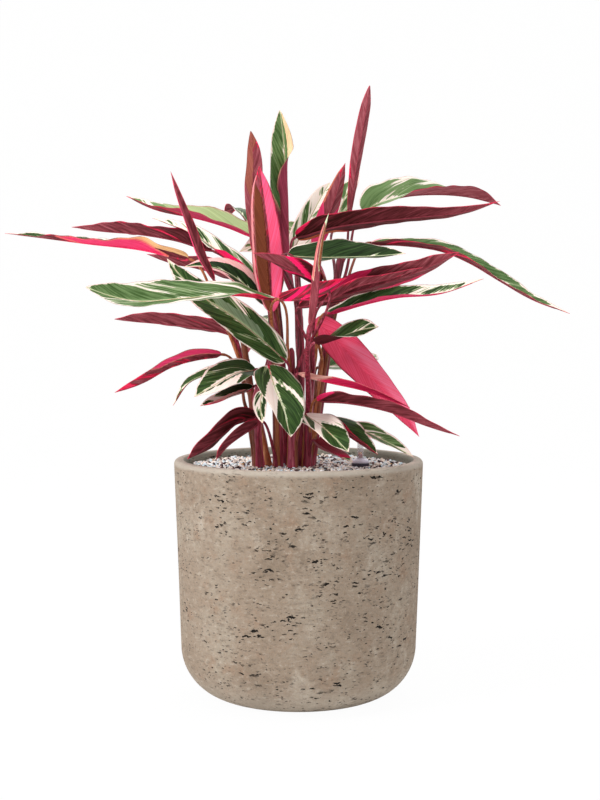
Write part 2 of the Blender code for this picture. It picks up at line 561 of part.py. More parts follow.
POCKET_RADIUS = GAUGE_TUBE_RADIUS + GAP
well_rings = []
for height in (GAUGE_FOOT - 3 * GAP, FILL_HEIGHT + 10 * MM):
    well_rings.append(
        round_ring(
            np.array((GAUGE_X, GAUGE_Y, height)),
            np.array((1.0, 0.0, 0.0)),
            np.array((0.0, 1.0, 0.0)),
            POCKET_RADIUS / math.cos(math.pi / RING_POINTS),
        )
    )
well_ends = [np.mean(ring, axis=0) for ring in well_rings]
pocket("cut_gauge_well", *skin(well_rings[::-1], well_ends[1], well_ends[0]))
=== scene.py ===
"""The looks of a potted stromanthe: a variegated foliage plant in a round fibre-cement pot.

Metres, +Z up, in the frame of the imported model. The front of the plant faces -Y. The sections
follow the object as it is put together: studio, pot, granules, water gauge, canes, leaves.
"""

import math

import bpy
import numpy as np
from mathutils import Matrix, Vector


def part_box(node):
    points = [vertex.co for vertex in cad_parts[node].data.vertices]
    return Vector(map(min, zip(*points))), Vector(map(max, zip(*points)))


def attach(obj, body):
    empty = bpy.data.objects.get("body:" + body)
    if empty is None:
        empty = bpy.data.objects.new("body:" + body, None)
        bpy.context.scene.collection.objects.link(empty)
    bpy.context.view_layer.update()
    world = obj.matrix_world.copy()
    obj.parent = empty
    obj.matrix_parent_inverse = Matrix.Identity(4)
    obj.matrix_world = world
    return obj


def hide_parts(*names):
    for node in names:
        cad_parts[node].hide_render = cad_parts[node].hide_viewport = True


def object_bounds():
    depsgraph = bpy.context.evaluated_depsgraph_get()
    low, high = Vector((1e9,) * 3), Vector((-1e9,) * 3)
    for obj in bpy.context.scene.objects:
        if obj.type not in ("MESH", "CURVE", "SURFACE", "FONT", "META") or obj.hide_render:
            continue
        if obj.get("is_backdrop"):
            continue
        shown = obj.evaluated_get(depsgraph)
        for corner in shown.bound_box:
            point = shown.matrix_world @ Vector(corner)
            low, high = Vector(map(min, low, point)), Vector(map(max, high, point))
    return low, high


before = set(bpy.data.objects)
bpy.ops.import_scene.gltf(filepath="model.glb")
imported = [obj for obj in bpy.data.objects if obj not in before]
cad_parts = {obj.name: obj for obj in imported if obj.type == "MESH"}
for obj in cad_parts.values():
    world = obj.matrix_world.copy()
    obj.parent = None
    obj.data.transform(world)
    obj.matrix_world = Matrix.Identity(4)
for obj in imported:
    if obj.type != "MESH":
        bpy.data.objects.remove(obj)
cad_box = [list(corner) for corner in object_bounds()]

# ---------------------------------------------------------------- studio
# A pale floor that curves up into a backdrop, lit by large soft lamps and an even sky.
# The camera stands a little above the rim of the pot, two metres in front of its axis.
MM = 0.001
FLOOR_HALF_WIDTH = 4.0
FLOOR_FRONT = -4.0
FLOOR_BEND = 2.6                # where the floor starts to curve up
FLOOR_BEND_STEPS = 12
BACKDROP_RADIUS = 1.2
BACKDROP_TOP = 4.0
FLOOR_GLOW = 0.97               # share of plain white that the camera sees in the floor
SKY_STRENGTH = 0.62
CAMERA_DISTANCE = 2.0
CAMERA_HEIGHT = 0.517
CAMERA_AIM_HEIGHT = 0.382
CAMERA_SIDE = 1.8 * MM
CAMERA_LENS = 70.2              # millimetres
CAMERA_SENSOR = 36.0            # millimetres
LAMP_AIM_HEIGHT = 0.4
LAMPS = (
    # name, place, size in metres, watts
    ("key_lamp", (-2.5, -1.7, 2.2), 1.5, 80),
    ("fill_lamp", (2.2, -2.2, 1.6), 1.8, 3),
    ("back_lamp", (0.3, 2.1, 2.4), 1.6, 22),
    ("top_lamp", (0.2, -0.5, 2.9), 1.6, 22),
)


def linear(code):
    """Linear red, green, blue and alpha of an sRGB hex colour."""
    parts = [int(code[k : k + 2], 16) / 255 for k in (1, 3, 5)]
    parts = [p / 12.92 if p <= 0.04045 else ((p + 0.055) / 1.055) ** 2.4 for p in parts]
    return (*parts, 1.0)


def add(tree, kind, *sources, out="", stops=(), **settings):
    """Adds a node with its settings and links, and returns one of its outputs.

    kind is the node's type, and after a space its operation, blend type or interpolation.
    sources feed the inputs that the node shows, in their order. A setting is a property of the
    node, or else an input, where _ in its name stands for a space. An input takes an output, a
    value or an sRGB hex colour. stops are (place, colour) along a colour ramp. out names the
    output, or else it is the first.
    """
    kind, _, way = kind.partition(" ")
    node = tree.nodes.new("ShaderNode" + kind)
    if kind == "Mix":
        node.data_type = "RGBA"
    for key in ("operation", "blend_type", "interpolation_type"):
        if way and hasattr(node, key):
            setattr(node, key, way)
    inputs = []
    for key, value in settings.items():
        if hasattr(node, key):
            setattr(node, key, value)
        else:
            inputs.append((node.inputs[key.replace("_", " ")], value))
    inputs += zip([socket for socket in node.inputs if socket.enabled], sources)
    for socket, source in inputs:
        if isinstance(source, bpy.types.NodeSocket):
            tree.links.new(source, socket)
        else:
            socket.default_value = linear(source) if isinstance(source, str) else source
    if stops:
        band = node.color_ramp
        band.interpolation = way
        for element, (place, code) in zip(band.elements, (stops[0], stops[-1])):
            element.position = place
            element.color = linear(code)
        for place, code in stops[1:-1]:
            band.elements.new(place).color = linear(code)
    return node.outputs[out] if out else [o for o in node.outputs if o.enabled][0]


def new_material(name, roughness, ior=1.45):
    """A material with its Principled shader, and its node tree."""
    made = bpy.data.materials.new(name)
    made.use_nodes = True
    shader = made.node_tree.nodes["Principled BSDF"]
    shader.inputs["Roughness"].default_value = roughness
    shader.inputs["IOR"].default_value = ior
    return made, made.node_tree, shader


def mottle(tree, place, size_mm, detail=3.0, roughness=0.5, stretch=(1, 1, 1)):
    """Cloudy pattern with lumps about size_mm across, cut shorter along an axis by its stretch."""
    scaled = add(tree, "Mapping", place, Scale=[share / (size_mm * MM) for share in stretch])
    return add(tree, "TexNoise", scaled, Scale=1.0, Detail=detail, Roughness=roughness)


def seen_directly(tree):
    """1 where the camera sees a thing itself, mirrored or through something clear."""
    rays = add(tree, "LightPath").node.outputs
    seen = add(tree, "Math MAXIMUM", rays["Is Camera Ray"], rays["Is Glossy Ray"])
    return add(tree, "Math MAXIMUM", seen, rays["Is Transmission Ray"])


def add_piece(name, vertices, faces, surface, slot=None):
    """A smooth mesh piece; with a slot it rides on the plant's one body."""
    mesh = bpy.data.meshes.new(name)
    mesh.from_pydata(np.asarray(vertices).tolist(), [], faces)
    mesh.update()
    mesh.shade_smooth()
    mesh.materials.append(surface)
    piece = bpy.data.objects.new(name, mesh)
    bpy.context.collection.objects.link(piece)
    if slot:
        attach(piece, "root")
    return piece


floor_line = [(FLOOR_FRONT, 0.0), (FLOOR_BEND, 0.0)]
for step in range(1, FLOOR_BEND_STEPS + 1):
    angle = math.radians(90 * step / FLOOR_BEND_STEPS)
    rise = BACKDROP_RADIUS * (1 - math.cos(angle))
    floor_line.append((FLOOR_BEND + BACKDROP_RADIUS * math.sin(angle), rise))
floor_line.append((FLOOR_BEND + BACKDROP_RADIUS, BACKDROP_TOP))
floor_points = [(x, y, z) for y, z in floor_line for x in (-FLOOR_HALF_WIDTH, FLOOR_HALF_WIDTH)]
floor_faces = [(2 * i, 2 * i + 1, 2 * i + 3, 2 * i + 2) for i in range(len(floor_line) - 1)]

# Matt paper sweep: it takes soft shadows, and a share of plain white keeps it bright to the camera.
paper, tree, shader = new_material("matt_paper_sweep", 0.9)
place = add(tree, "TexCoord", out="Object")
tone = add(tree, "Mix", mottle(tree, place, 400), "#fbfbfa", "#f8f8f7")
tree.links.new(tone, shader.inputs["Base Color"])
shader.inputs["Specular IOR Level"].default_value = 0.1
glow = add(tree, "Emission", Color="#ffffff", Strength=1.0)
glow_share = add(tree, "Math MULTIPLY", seen_directly(tree), FLOOR_GLOW)
mixed = add(tree, "MixShader", glow_share, shader.outputs[0], glow)
tree.links.new(mixed, tree.nodes["Material Output"].inputs["Surface"])
floor = add_piece("studio_floor", floor_points, floor_faces, paper)
floor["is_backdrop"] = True

for name, lamp_place, size, watts in LAMPS:
    lamp_data = bpy.data.lights.new(name, "AREA")
    lamp_data.shape = "DISK"
    lamp_data.size = size
    lamp_data.energy = watts
    lamp = bpy.data.objects.new(name, lamp_data)
    lamp.location = lamp_place
    aim = np.array((0.0, 0.0, LAMP_AIM_HEIGHT)) - np.array(lamp_place)
    tilt = math.atan2(math.hypot(aim[0], aim[1]), -aim[2])
    lamp.rotation_euler = (tilt, 0.0, math.atan2(aim[1], aim[0]) - math.pi / 2)
    bpy.context.collection.objects.link(lamp)

sky = bpy.data.worlds.new("even_sky")
sky.use_nodes = True
bpy.context.scene.world = sky
tree = sky.node_tree
strength = add(tree, "Math MULTIPLY_ADD", seen_directly(tree), 1.0 - SKY_STRENGTH, SKY_STRENGTH)
tree.nodes["Background"].inputs["Color"].default_value = (1, 1, 1, 1)
tree.links.new(strength, tree.nodes["Background"].inputs["Strength"])

camera_data = bpy.data.cameras.new("camera")
camera_data.lens = CAMERA_LENS
camera_data.sensor_width = CAMERA_SENSOR
camera = bpy.data.objects.new("camera", camera_data)
camera.location = (CAMERA_SIDE, -CAMERA_DISTANCE, CAMERA_HEIGHT)
camera_drop = math.atan2(CAMERA_HEIGHT - CAMERA_AIM_HEIGHT, CAMERA_DISTANCE)
camera.rotation_euler = (math.pi / 2 - camera_drop, 0.0, 0.0)
bpy.context.collection.objects.link(camera)
bpy.context.scene.camera = camera
bpy.context.scene.view_settings.view_transform = "Standard"

# ---------------------------------------------------------------- pot
# A round planter cast in fibre cement against a mould: an even wall, a soft rounded lip and a
# rounded foot. Trapped air leaves pits, mostly drawn out sideways, painted near-black as the shade
# in them, and the skin is mottled.
pot_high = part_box("pot")[1]
RIM_RADIUS = pot_high[0]
POT_HEIGHT = pot_high[2]
FOOT_RADIUS = 152 * MM
WALL = 15 * MM
FLOOR_THICKNESS = 18 * MM
FOOT_ROUNDING = 67 * MM
LIP_ROUNDING = 5.5 * MM
INNER_ROUNDING = FOOT_ROUNDING - WALL
POT_TURNS = 288                 # points round the pot
WALL_UNEVENNESS = 0.35 * MM
LIP_BAND_FROM = POT_HEIGHT - 9 * MM
LIP_BAND_TO = POT_HEIGHT - 3 * MM


def arc(centre_r, centre_z, radius, start_deg, end_deg, steps):
    """Points (r, z) along an arc, both ends included."""
    angles = np.radians(np.linspace(start_deg, end_deg, steps + 1))
    return [(centre_r + radius * math.cos(a), centre_z + radius * math.sin(a)) for a in angles]


def fill_between(first, second, steps):
    """Points (r, z) between two points, neither end included."""
    shares = np.linspace(0.0, 1.0, steps + 1)[1:-1]
    return [tuple((1 - s) * np.array(first) + s * np.array(second)) for s in shares]


def turned(profile, count, centre=(0.0, 0.0)):
    """Vertices and faces of a profile (r, z) turned about a vertical axis; r = 0 is a pole."""
    rings = []
    vertices = []
    for r, z in profile:
        if r == 0.0:
            rings.append([len(vertices)])
            vertices.append((centre[0], centre[1], z))
            continue
        rings.append(list(range(len(vertices), len(vertices) + count)))
        for k in range(count):
            a = 2 * math.pi * k / count
            vertices.append((centre[0] + r * math.cos(a), centre[1] + r * math.sin(a), z))
    if len(rings[0]) > 1:
        rings.append(rings[0])
    faces = []
    for low, high in zip(rings, rings[1:]):
        if len(low) == len(high) == 1:
            continue
        for k in range(count):
            n = (k + 1) % count
            if len(low) == 1:
                faces.append((low[0], high[n], high[k]))
            elif len(high) == 1:
                faces.append((low[k], low[n], high[0]))
            else:
                faces.append((low[k], low[n], high[n], high[k]))
    return vertices, faces


def layer(tree, under, over, level, start, end, share=1.0, blend="MIX"):
    """Lays a colour over another, from none to a share of it as the level goes from start to end."""
    cover = add(tree, "MapRange SMOOTHSTEP", level, start, end)
    if share < 1.0:
        cover = add(tree, "Math MULTIPLY", cover, share)
    return add(tree, "Mix " + blend, cover, under, over)


foot_arc = arc(FOOT_RADIUS - FOOT_ROUNDING, FOOT_ROUNDING, FOOT_ROUNDING, -90, 0, 22)
lip_out = arc(RIM_RADIUS - LIP_ROUNDING, POT_HEIGHT - LIP_ROUNDING, LIP_ROUNDING, 0, 90, 7)
inner_rim = RIM_RADIUS - WALL
lip_in = arc(inner_rim + LIP_ROUNDING, POT_HEIGHT - LIP_ROUNDING, LIP_ROUNDING, 90, 180, 7)
inner_flat = FOOT_RADIUS - WALL - INNER_ROUNDING
inner_foot = arc(inner_flat, FLOOR_THICKNESS + INNER_ROUNDING, INNER_ROUNDING, 0, -90, 8)
profile = [(0.0, 0.0)] + foot_arc + fill_between(foot_arc[-1], lip_out[0], 60) + lip_out
profile += lip_in + fill_between(lip_in[-1], inner_foot[0], 12) + inner_foot
profile += [(0.0, FLOOR_THICKNESS)]
pot_points, pot_faces = turned(profile, POT_TURNS)
pot_points = np.array(pot_points)

# A cast wall is never quite round: low dents up the wall, none on the base or near the axis.
around = np.arctan2(pot_points[:, 1], pot_points[:, 0])
radius = np.hypot(pot_points[:, 0], pot_points[:, 1])
swell = (
    np.sin(3 * around + 0.7) * np.sin(pot_points[:, 2] * 21 + 0.4)
    + 0.6 * np.sin(5 * around + 2.1 + pot_points[:, 2] * 17)
    + 0.35 * np.sin(9 * around + 4.0 - pot_points[:, 2] * 39)
)
off_axis = np.clip((radius - 120 * MM) / (30 * MM), 0, 1)
off_base = np.clip(pot_points[:, 2] / (20 * MM), 0, 1)
dent = WALL_UNEVENNESS * (0.6 + 0.4 * swell) * off_axis * off_base
shift = 1 - dent / np.maximum(radius, 10 * MM)
pot_points[:, 0] *= shift
pot_points[:, 1] *= shift

# Fibre cement: a dry matt skin, warm grey-beige with tan clouds and pale bloom. Its pits are
# painted near-black as shade; its wrinkles have painted shade in the valleys and painted light on
# the ridges, and painted light makes the foot paler.
fibre_cement, tree, shader = new_material("cast_fibre_cement", 0.88, 1.5)
shader.inputs["Specular IOR Level"].default_value = 0.25
place = add(tree, "TexCoord", out="Object")
clouds = mottle(tree, place, 70, 4.0, 0.55, (1, 1, 0.8))
patches = mottle(tree, place, 26, 5.0, 0.6)
bloom = mottle(tree, place, 45, 5.0, 0.65, (1, 1, 0.6))
grain = mottle(tree, place, 1.6, 3.0, 0.7)
wrinkles_and_painted_shading = mottle(tree, place, 9, 7.0, 0.76, (1, 1, 1.8))
height_of = add(tree, "SeparateXYZ", place, out="Z")
from_axis = add(tree, "VectorMath LENGTH", add(tree, "VectorMath MULTIPLY", place, (1, 1, 0)))
greys = ((0.32, "#8e8072"), (0.5, "#9a8c7e"), (0.68, "#a3988b"))
skin_tone = add(tree, "ValToRGB EASE", clouds, stops=greys)
skin_tone = layer(tree, skin_tone, "#998473", patches, 0.5, 0.76)
skin_tone = layer(tree, skin_tone, "#b3a99d", bloom, 0.52, 0.74)
skin_tone = layer(tree, skin_tone, "#c2b5a6", grain, 0.25, 0.8, blend="SOFT_LIGHT")
# Painted shade in the valleys of the wrinkles, and painted light on their ridges.
skin_tone = layer(tree, skin_tone, "#74675a", wrinkles_and_painted_shading, 0.49, 0.36, 0.5)
skin_tone = layer(tree, skin_tone, "#c3b7a9", wrinkles_and_painted_shading, 0.53, 0.66, 0.45)
# Lighter towards the lip.
skin_tone = layer(tree, skin_tone, "#bdb3a6", height_of, LIP_BAND_FROM, LIP_BAND_TO, 0.75)
# Painted light: paler from 55 mm down to 6 mm, where the foot curves under and takes shade.
skin_tone = layer(tree, skin_tone, "#cfc4b6", height_of, 55 * MM, 6 * MM, 0.4)
inside = add(tree, "MapRange SMOOTHSTEP", from_axis, inner_rim + 4 * MM, inner_rim + 2 * MM)
upper_part = add(tree, "MapRange SMOOTHSTEP", height_of, 0.5 * POT_HEIGHT, 0.6 * POT_HEIGHT)
inside = add(tree, "Math MULTIPLY", inside, upper_part)
skin_tone = add(tree, "Mix", inside, skin_tone, "#949386")


def paint(tree, shader, tone, height, strength, relief_mm):
    """Gives a shader its colour, and a relief up to relief_mm high that only shading shows."""
    tree.links.new(tone, shader.inputs["Base Color"])
    relief = add(tree, "Bump", strength, relief_mm * MM, Height=height)
    tree.links.new(relief, shader.inputs["Normal"])


def weighted_sum(tree, *parts):
    """The sum of outputs, each times its weight."""
    total = 0.0
    for part, weight in parts:
        total = add(tree, "Math MULTIPLY_ADD", part, weight, total)
    return total


def pits(size_mm, flat, reach, share, slant, seed):
    """Mask of pits, flat times wider than high, in a share of cells of about size_mm.

    reach is how far the largest pit fills its cell, and slant leans the pits, in radians.
    """
    torn = add(tree, "TexNoise", place, 1 / (size_mm * 0.42 * MM), 2.0, out="Color")
    offset = add(tree, "VectorMath SCALE", torn, size_mm * 0.55 * MM)
    moved = add(tree, "VectorMath ADD", place, offset)
    per_cell = 1 / (size_mm * MM)
    start = (seed, seed * 0.37, seed * 0.61)
    squeeze = (per_cell, per_cell, flat * per_cell)
    tilted = add(tree, "Mapping", moved, start, (0.0, slant, 0.0), squeeze)
    cells = add(tree, "TexVoronoi", tilted, 1.0).node.outputs
    chance = add(tree, "SeparateColor", cells["Color"]).node.outputs
    is_open = add(tree, "Math LESS_THAN", chance["Red"], share)
    spread = add(tree, "Math MULTIPLY_ADD", chance["Green"], reach, reach * 0.3)
    depth = add(tree, "Math DIVIDE", cells["Distance"], spread)
    return add(tree, "Math MULTIPLY", add(tree, "MapRange SMOOTHSTEP", depth, 1.0, 0.94), is_open)


cluster = add(tree, "MapRange SMOOTHSTEP", mottle(tree, place, 52, 2.0, 0.6, (1, 1, 1.9)), 0.49, 0.58)
large_pits = add(tree, "Math MULTIPLY", pits(13.5, 4.4, 0.36, 0.42, -0.22, 3.1), cluster)
less_clustered = add(tree, "Math MULTIPLY_ADD", cluster, 0.75, 0.25)
small_pits = add(tree, "Math MULTIPLY", pits(7.4, 3.5, 0.34, 0.3, -0.12, 11.7), less_clustered)
thin_spread = add(tree, "MapRange SMOOTHSTEP", mottle(tree, place, 34, 2.0, 0.6), 0.42, 0.6)
fine_pits = add(tree, "Math MULTIPLY", pits(4.6, 2.6, 0.34, 0.24, 0.05, 5.3), thin_spread)
all_pits = add(tree, "Math MAXIMUM", large_pits, add(tree, "Math MAXIMUM", small_pits, fine_pits))

# The worn lip keeps only faint pits.
not_lip = add(tree, "MapRange SMOOTHSTEP", height_of, LIP_BAND_TO, LIP_BAND_FROM)
all_pits = add(tree, "Math MULTIPLY", all_pits, add(tree, "Math MULTIPLY_ADD", not_lip, 0.85, 0.15))
# Painted shade: the pits are coloured near-black, as the shade inside them.
pit_painted_shade = layer(tree, "#0c0806", "#1d1610", grain, 0.3, 0.7)
skin_tone = add(tree, "Mix", all_pits, skin_tone, pit_painted_shade)
pimples = add(tree, "MapRange SMOOTHSTEP", mottle(tree, place, 3.2, 2.0, 0.5), 0.56, 0.7)
height = weighted_sum(tree, (wrinkles_and_painted_shading, 0.75), (grain, 0.16), (pimples, 0.07), (all_pits, -0.9))
paint(tree, shader, skin_tone, height, 1.0, 2.6)

pot = add_piece("planter", pot_points, pot_faces, fibre_cement, "fibre_cement")
pot.data.set_sharp_from_angle(angle=math.radians(50))
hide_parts("pot")

# ---------------------------------------------------------------- granules
# Mineral substrate: broken pumice, zeolite and lava sieved to 3 to 6 mm and poured in loose.
# The solid under them stands for the body of the fill, and shows only between the grains.
CM = 0.01
GRAIN_PITCH = 5.8 * MM          # between neighbours, laid in rows that are then shaken
ROW_PITCH = 0.866 * GRAIN_PITCH
GRAIN_SHAKE = 0.33              # largest shift of a grain, over the pitch
GRAIN_LIFT = (-0.8, 1.3)        # of a grain's middle over the fill, in millimetres
FILL_RADIUS = 144 * MM
WALL_ROOM = 2.4 * MM            # from the edge of the fill to the nearest grains' middles
STEM_ROOM = 6.2 * MM            # radius kept free round a cane
GAUGE_ROOM = 10.5 * MM          # and round the gauge, where the bed also dips a little
DIP_RADIUS = 24 * MM
DIP_DEPTH = 2.6 * MM
GRAIN_KINDS = (
    # name, share, (smallest, largest) radius in millimetres, two colours
    ("pumice", 0.36, (2.3, 3.6), ("#fffbf5", "#f7e8d8")),
    ("zeolite", 0.295, (2.4, 3.7), ("#ffffff", "#cfe9f2")),
    ("lava", 0.19, (2.1, 3.2), ("#7a6360", "#544044")),
    ("basalt", 0.14, (2.0, 3.0), ("#2f2527", "#4b3d3f")),
    ("amber", 0.015, (1.8, 2.4), ("#e3b266", "#c98f3e")),
)
GRAIN_CUTS = 7
CUT_DEPTH = (0.55, 0.85)        # of a cut from a grain's middle, over its radius
rng = np.random.default_rng(20)


def ico_ball():
    """Vertices and faces of an icosahedron split once: 42 points, 80 faces."""
    t = (1 + math.sqrt(5)) / 2
    points = [(-1, t, 0), (1, t, 0), (-1, -t, 0), (1, -t, 0), (0, -1, t), (0, 1, t)]
    points += [(0, -1, -t), (0, 1, -t), (t, 0, -1), (t, 0, 1), (-t, 0, -1), (-t, 0, 1)]
    faces = [(0, 11, 5), (0, 5, 1), (0, 1, 7), (0, 7, 10), (0, 10, 11), (1, 5, 9), (5, 11, 4)]
    faces += [(11, 10, 2), (10, 7, 6), (7, 1, 8), (3, 9, 4), (3, 4, 2), (3, 2, 6), (3, 6, 8)]
    faces += [(3, 8, 9), (4, 9, 5), (2, 4, 11), (6, 2, 10), (8, 6, 7), (9, 8, 1)]
    points = [np.array(p) / np.linalg.norm(p) for p in points]
    middles = {}
    split = []

    def middle(a, b):
        key = (min(a, b), max(a, b))
        if key not in middles:
            both = points[a] + points[b]
            middles[key] = len(points)
            points.append(both / np.linalg.norm(both))
        return middles[key]

    for a, b, c in faces:
        ab, bc, ca = middle(a, b), middle(b, c), middle(c, a)
        split += [(a, ab, ca), (b, bc, ab), (c, ca, bc), (ab, bc, ca)]
    return np.array(points), np.array(split)


ball_points, ball_faces = ico_ball()


def grain_shape(radius):
    """A broken grain: a ball cut by a few random flats, then stretched and turned."""
    shape = ball_points.copy()
    for _ in range(GRAIN_CUTS):
        flat = rng.normal(size=3)
        flat /= np.linalg.norm(flat)
        depth = rng.uniform(*CUT_DEPTH)
        over = shape @ flat - depth
        shape -= np.outer(np.clip(over, 0, None), flat)
    shape *= rng.uniform((0.85, 0.7, 0.6), (1.25, 1.05, 0.9))
    turn, _ = np.linalg.qr(rng.normal(size=(3, 3)))
    if np.linalg.det(turn) < 0:
        turn[:, 0] *= -1
    return shape @ turn * radius


# Where the canes go in, in centimetres.
stem_feet = [(-5.0, -1.4), (-3.6, 1.2), (-2.5, -0.6), (-1.7, 1.5), (-0.8, -1.9), (-0.3, 1.0)]
stem_feet += [(0.9, -0.8), (1.0, 0.7)]
fill_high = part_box("substrate")[1]
collar_low, collar_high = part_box("gauge_collar")
gauge_x = (collar_low[0] + collar_high[0]) / 2
gauge_y = (collar_low[1] + collar_high[1]) / 2
grain_places = []
rows = int(2 * FILL_RADIUS / ROW_PITCH) + 2
corner = -FILL_RADIUS - 6 * MM
for row in range(rows):
    for column in range(rows + 8):
        x = corner + (column + 0.5 * (row % 2)) * GRAIN_PITCH
        y = corner + row * ROW_PITCH
        x += rng.uniform(-GRAIN_SHAKE, GRAIN_SHAKE) * GRAIN_PITCH
        y += rng.uniform(-GRAIN_SHAKE, GRAIN_SHAKE) * GRAIN_PITCH
        in_bed = math.hypot(x, y) < FILL_RADIUS - WALL_ROOM
        in_stem = min(math.hypot(x - sx * CM, y - sy * CM) for sx, sy in stem_feet) < STEM_ROOM
        in_gauge = math.hypot(x - gauge_x, y - gauge_y) < GAUGE_ROOM
        if in_bed and not in_stem and not in_gauge:
            grain_places.append((x, y))

kind_of = rng.choice(len(GRAIN_KINDS), len(grain_places), p=[kind[1] for kind in GRAIN_KINDS])
for number, (kind, _, sizes, colours) in enumerate(GRAIN_KINDS):
    # Broken mineral: matt and slightly porous, with each grain a little lighter or darker.
    mineral, tree, shader = new_material(kind + "_grains", 0.85, 1.5)
    shader.inputs["Specular IOR Level"].default_value = 0.3
    place = add(tree, "TexCoord", out="Object")
    specks = mottle(tree, place, 1.2, 3.0, 0.7)
    tone = layer(tree, *colours, mottle(tree, place, 6, 2.0), 0.35, 0.65)
    tone = layer(tree, tone, "#6b5b55", specks, 0.52, 0.75, 0.2)
    paint(tree, shader, tone, specks, 0.8, 0.25)
    points = []
    faces = []
    for (x, y), which in zip(grain_places, kind_of):
        if which != number:
            continue
        radius = rng.uniform(*sizes) * MM
        lift = rng.uniform(*GRAIN_LIFT) * MM
        if math.hypot(x - gauge_x, y - gauge_y) < DIP_RADIUS:
            lift -= DIP_DEPTH
        shape = grain_shape(radius) + np.array((x, y, fill_high[2] + lift))
        faces.append(ball_faces + len(ball_points) * len(points))
        points.append(shape)
    faces = np.vstack(faces).tolist()
    grains = add_piece("granules_" + kind, np.vstack(points), faces, mineral, "mineral_granules")
    grains.data.set_sharp_from_angle(angle=math.radians(28))

# Fine dust and broken grains between the larger ones: mixed browns and greys, quite dark.
dust, tree, shader = new_material("mineral_dust", 0.95, 1.5)
shader.inputs["Specular IOR Level"].default_value = 0.2
place = add(tree, "TexCoord", out="Object")
crumbs = add(tree, "TexVoronoi", place, 1 / (2.4 * MM)).node.outputs
crumb_chance = add(tree, "SeparateColor", crumbs["Color"])
crumb_stops = ((0.0, "#2e2526"), (0.4, "#5d4f4c"), (0.7, "#a39488"), (1.0, "#e0d4c6"))
tone = add(tree, "ValToRGB LINEAR", crumb_chance, stops=crumb_stops)
domes = add(tree, "Math SUBTRACT", 1.0, crumbs["Distance"])
paint(tree, shader, tone, domes, 1.0, 1.2)
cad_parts["substrate"].material_slots[0].material = dust

# ---------------------------------------------------------------- water gauge
# A clear extruded tube with a closed top stands in the substrate. A moulded frosted collar with
# a dark lower ring holds it at the surface, and a red float with an orange cap shows the level.
tube_low, tube_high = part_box("gauge_tube")
TUBE_RADIUS = (tube_high[0] - tube_low[0]) / 2
TUBE_WALL = 1.2 * MM
TUBE_TURNS = 40
COLLAR_TURNS = 56
FLOAT_TURNS = 32
RING_HEIGHT = 4.2 * MM
BEAD_RADIUS = 2.4 * MM
BEAD_HEIGHT = 7 * MM            # the red bead and its orange cap together
CAP_HEIGHT = 2.2 * MM
ROD_RADIUS = 1.0 * MM
gauge_centre = (gauge_x, gauge_y)


def moulded(name, roughness, ior, tone, shade, size_mm, detail, strength, relief_mm):
    """A plastic in two close tones, in clouds about size_mm across with a faint relief."""
    plastic, tree, shader = new_material(name, roughness, ior)
    clouds = mottle(tree, add(tree, "TexCoord", out="Object"), size_mm, detail)
    paint(tree, shader, add(tree, "Mix", clouds, tone, shade), clouds, strength, relief_mm)
    return plastic, shader


# Clear thin-walled acrylic: polished, with a milky haze of lime and dust that veils what it holds.
acrylic, shader = moulded("clear_acrylic", 0.12, 1.49, "#f2f2f6", "#dfdde6", 9, 3.0, 0.3, 0.05)
shader.inputs["Alpha"].default_value = 0.27
dome = arc(0.0, tube_high[2] - TUBE_RADIUS, TUBE_RADIUS, 0, 84, 8)
bore = TUBE_RADIUS - TUBE_WALL
inner_dome = arc(0.0, tube_high[2] - TUBE_RADIUS, bore, 75, 0, 6)
profile = [(TUBE_RADIUS, tube_low[2]), *dome, (0.0, tube_high[2])]
profile += [(0.0, tube_high[2] - TUBE_WALL), *inner_dome, (bore, tube_low[2])]
vertices, faces = turned(profile, TUBE_TURNS, gauge_centre)
tube = add_piece("gauge_tube_clear", vertices, faces, acrylic, "clear_plastic")
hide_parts("gauge_tube")

# Frosted polypropylene: soft translucent lilac-white, matt from the mould.
frosted, shader = moulded(
    "frosted_polypropylene", 0.34, 1.49, "#eeecf6", "#d9d6e8", 5, 3.0, 0.3, 0.1
)
shader.inputs["Transmission Weight"].default_value = 0.12
collar_radius = (collar_high[0] - collar_low[0]) / 2
collar_bore = TUBE_RADIUS + 0.25 * MM
foot_z = collar_low[2]
ring_top = foot_z + RING_HEIGHT
top_z = collar_high[2]
profile = [(collar_bore, ring_top), (0.96 * collar_radius, ring_top)]
for angle in np.radians(np.linspace(8, 60, 10)):
    reach = collar_radius * math.cos(angle) ** 1.05
    profile.append((reach, ring_top + (top_z - ring_top) * math.sin(angle)))
profile += [(TUBE_RADIUS + 1.3 * MM, top_z - 0.2 * MM), (TUBE_RADIUS + 0.9 * MM, top_z)]
profile += [(collar_bore, top_z)]
vertices, faces = turned(profile, COLLAR_TURNS, gauge_centre)
collar = add_piece("gauge_collar_dome", vertices, faces, frosted, "frosted_plastic")
collar.data.set_sharp_from_angle(angle=math.radians(40))
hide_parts("gauge_collar")

# Black polypropylene foot ring: satin, with a faint moulded texture.
black_plastic, _ = moulded(
    "black_polypropylene", 0.42, 1.49, "#2b2433", "#3c3446", 2, 2.0, 0.4, 0.08
)
profile = [(collar_bore, foot_z), (collar_radius - 0.5 * MM, foot_z)]
profile += [(collar_radius, foot_z + 0.5 * MM), (collar_radius, ring_top - 0.6 * MM)]
profile += [(collar_radius - 0.5 * MM, ring_top - 0.1 * MM), (collar_bore, ring_top - 0.1 * MM)]
vertices, faces = turned(profile, COLLAR_TURNS, gauge_centre)
ring = add_piece("gauge_collar_ring", vertices, faces, black_plastic, "frosted_plastic")
ring.data.set_sharp_from_angle(angle=math.radians(40))

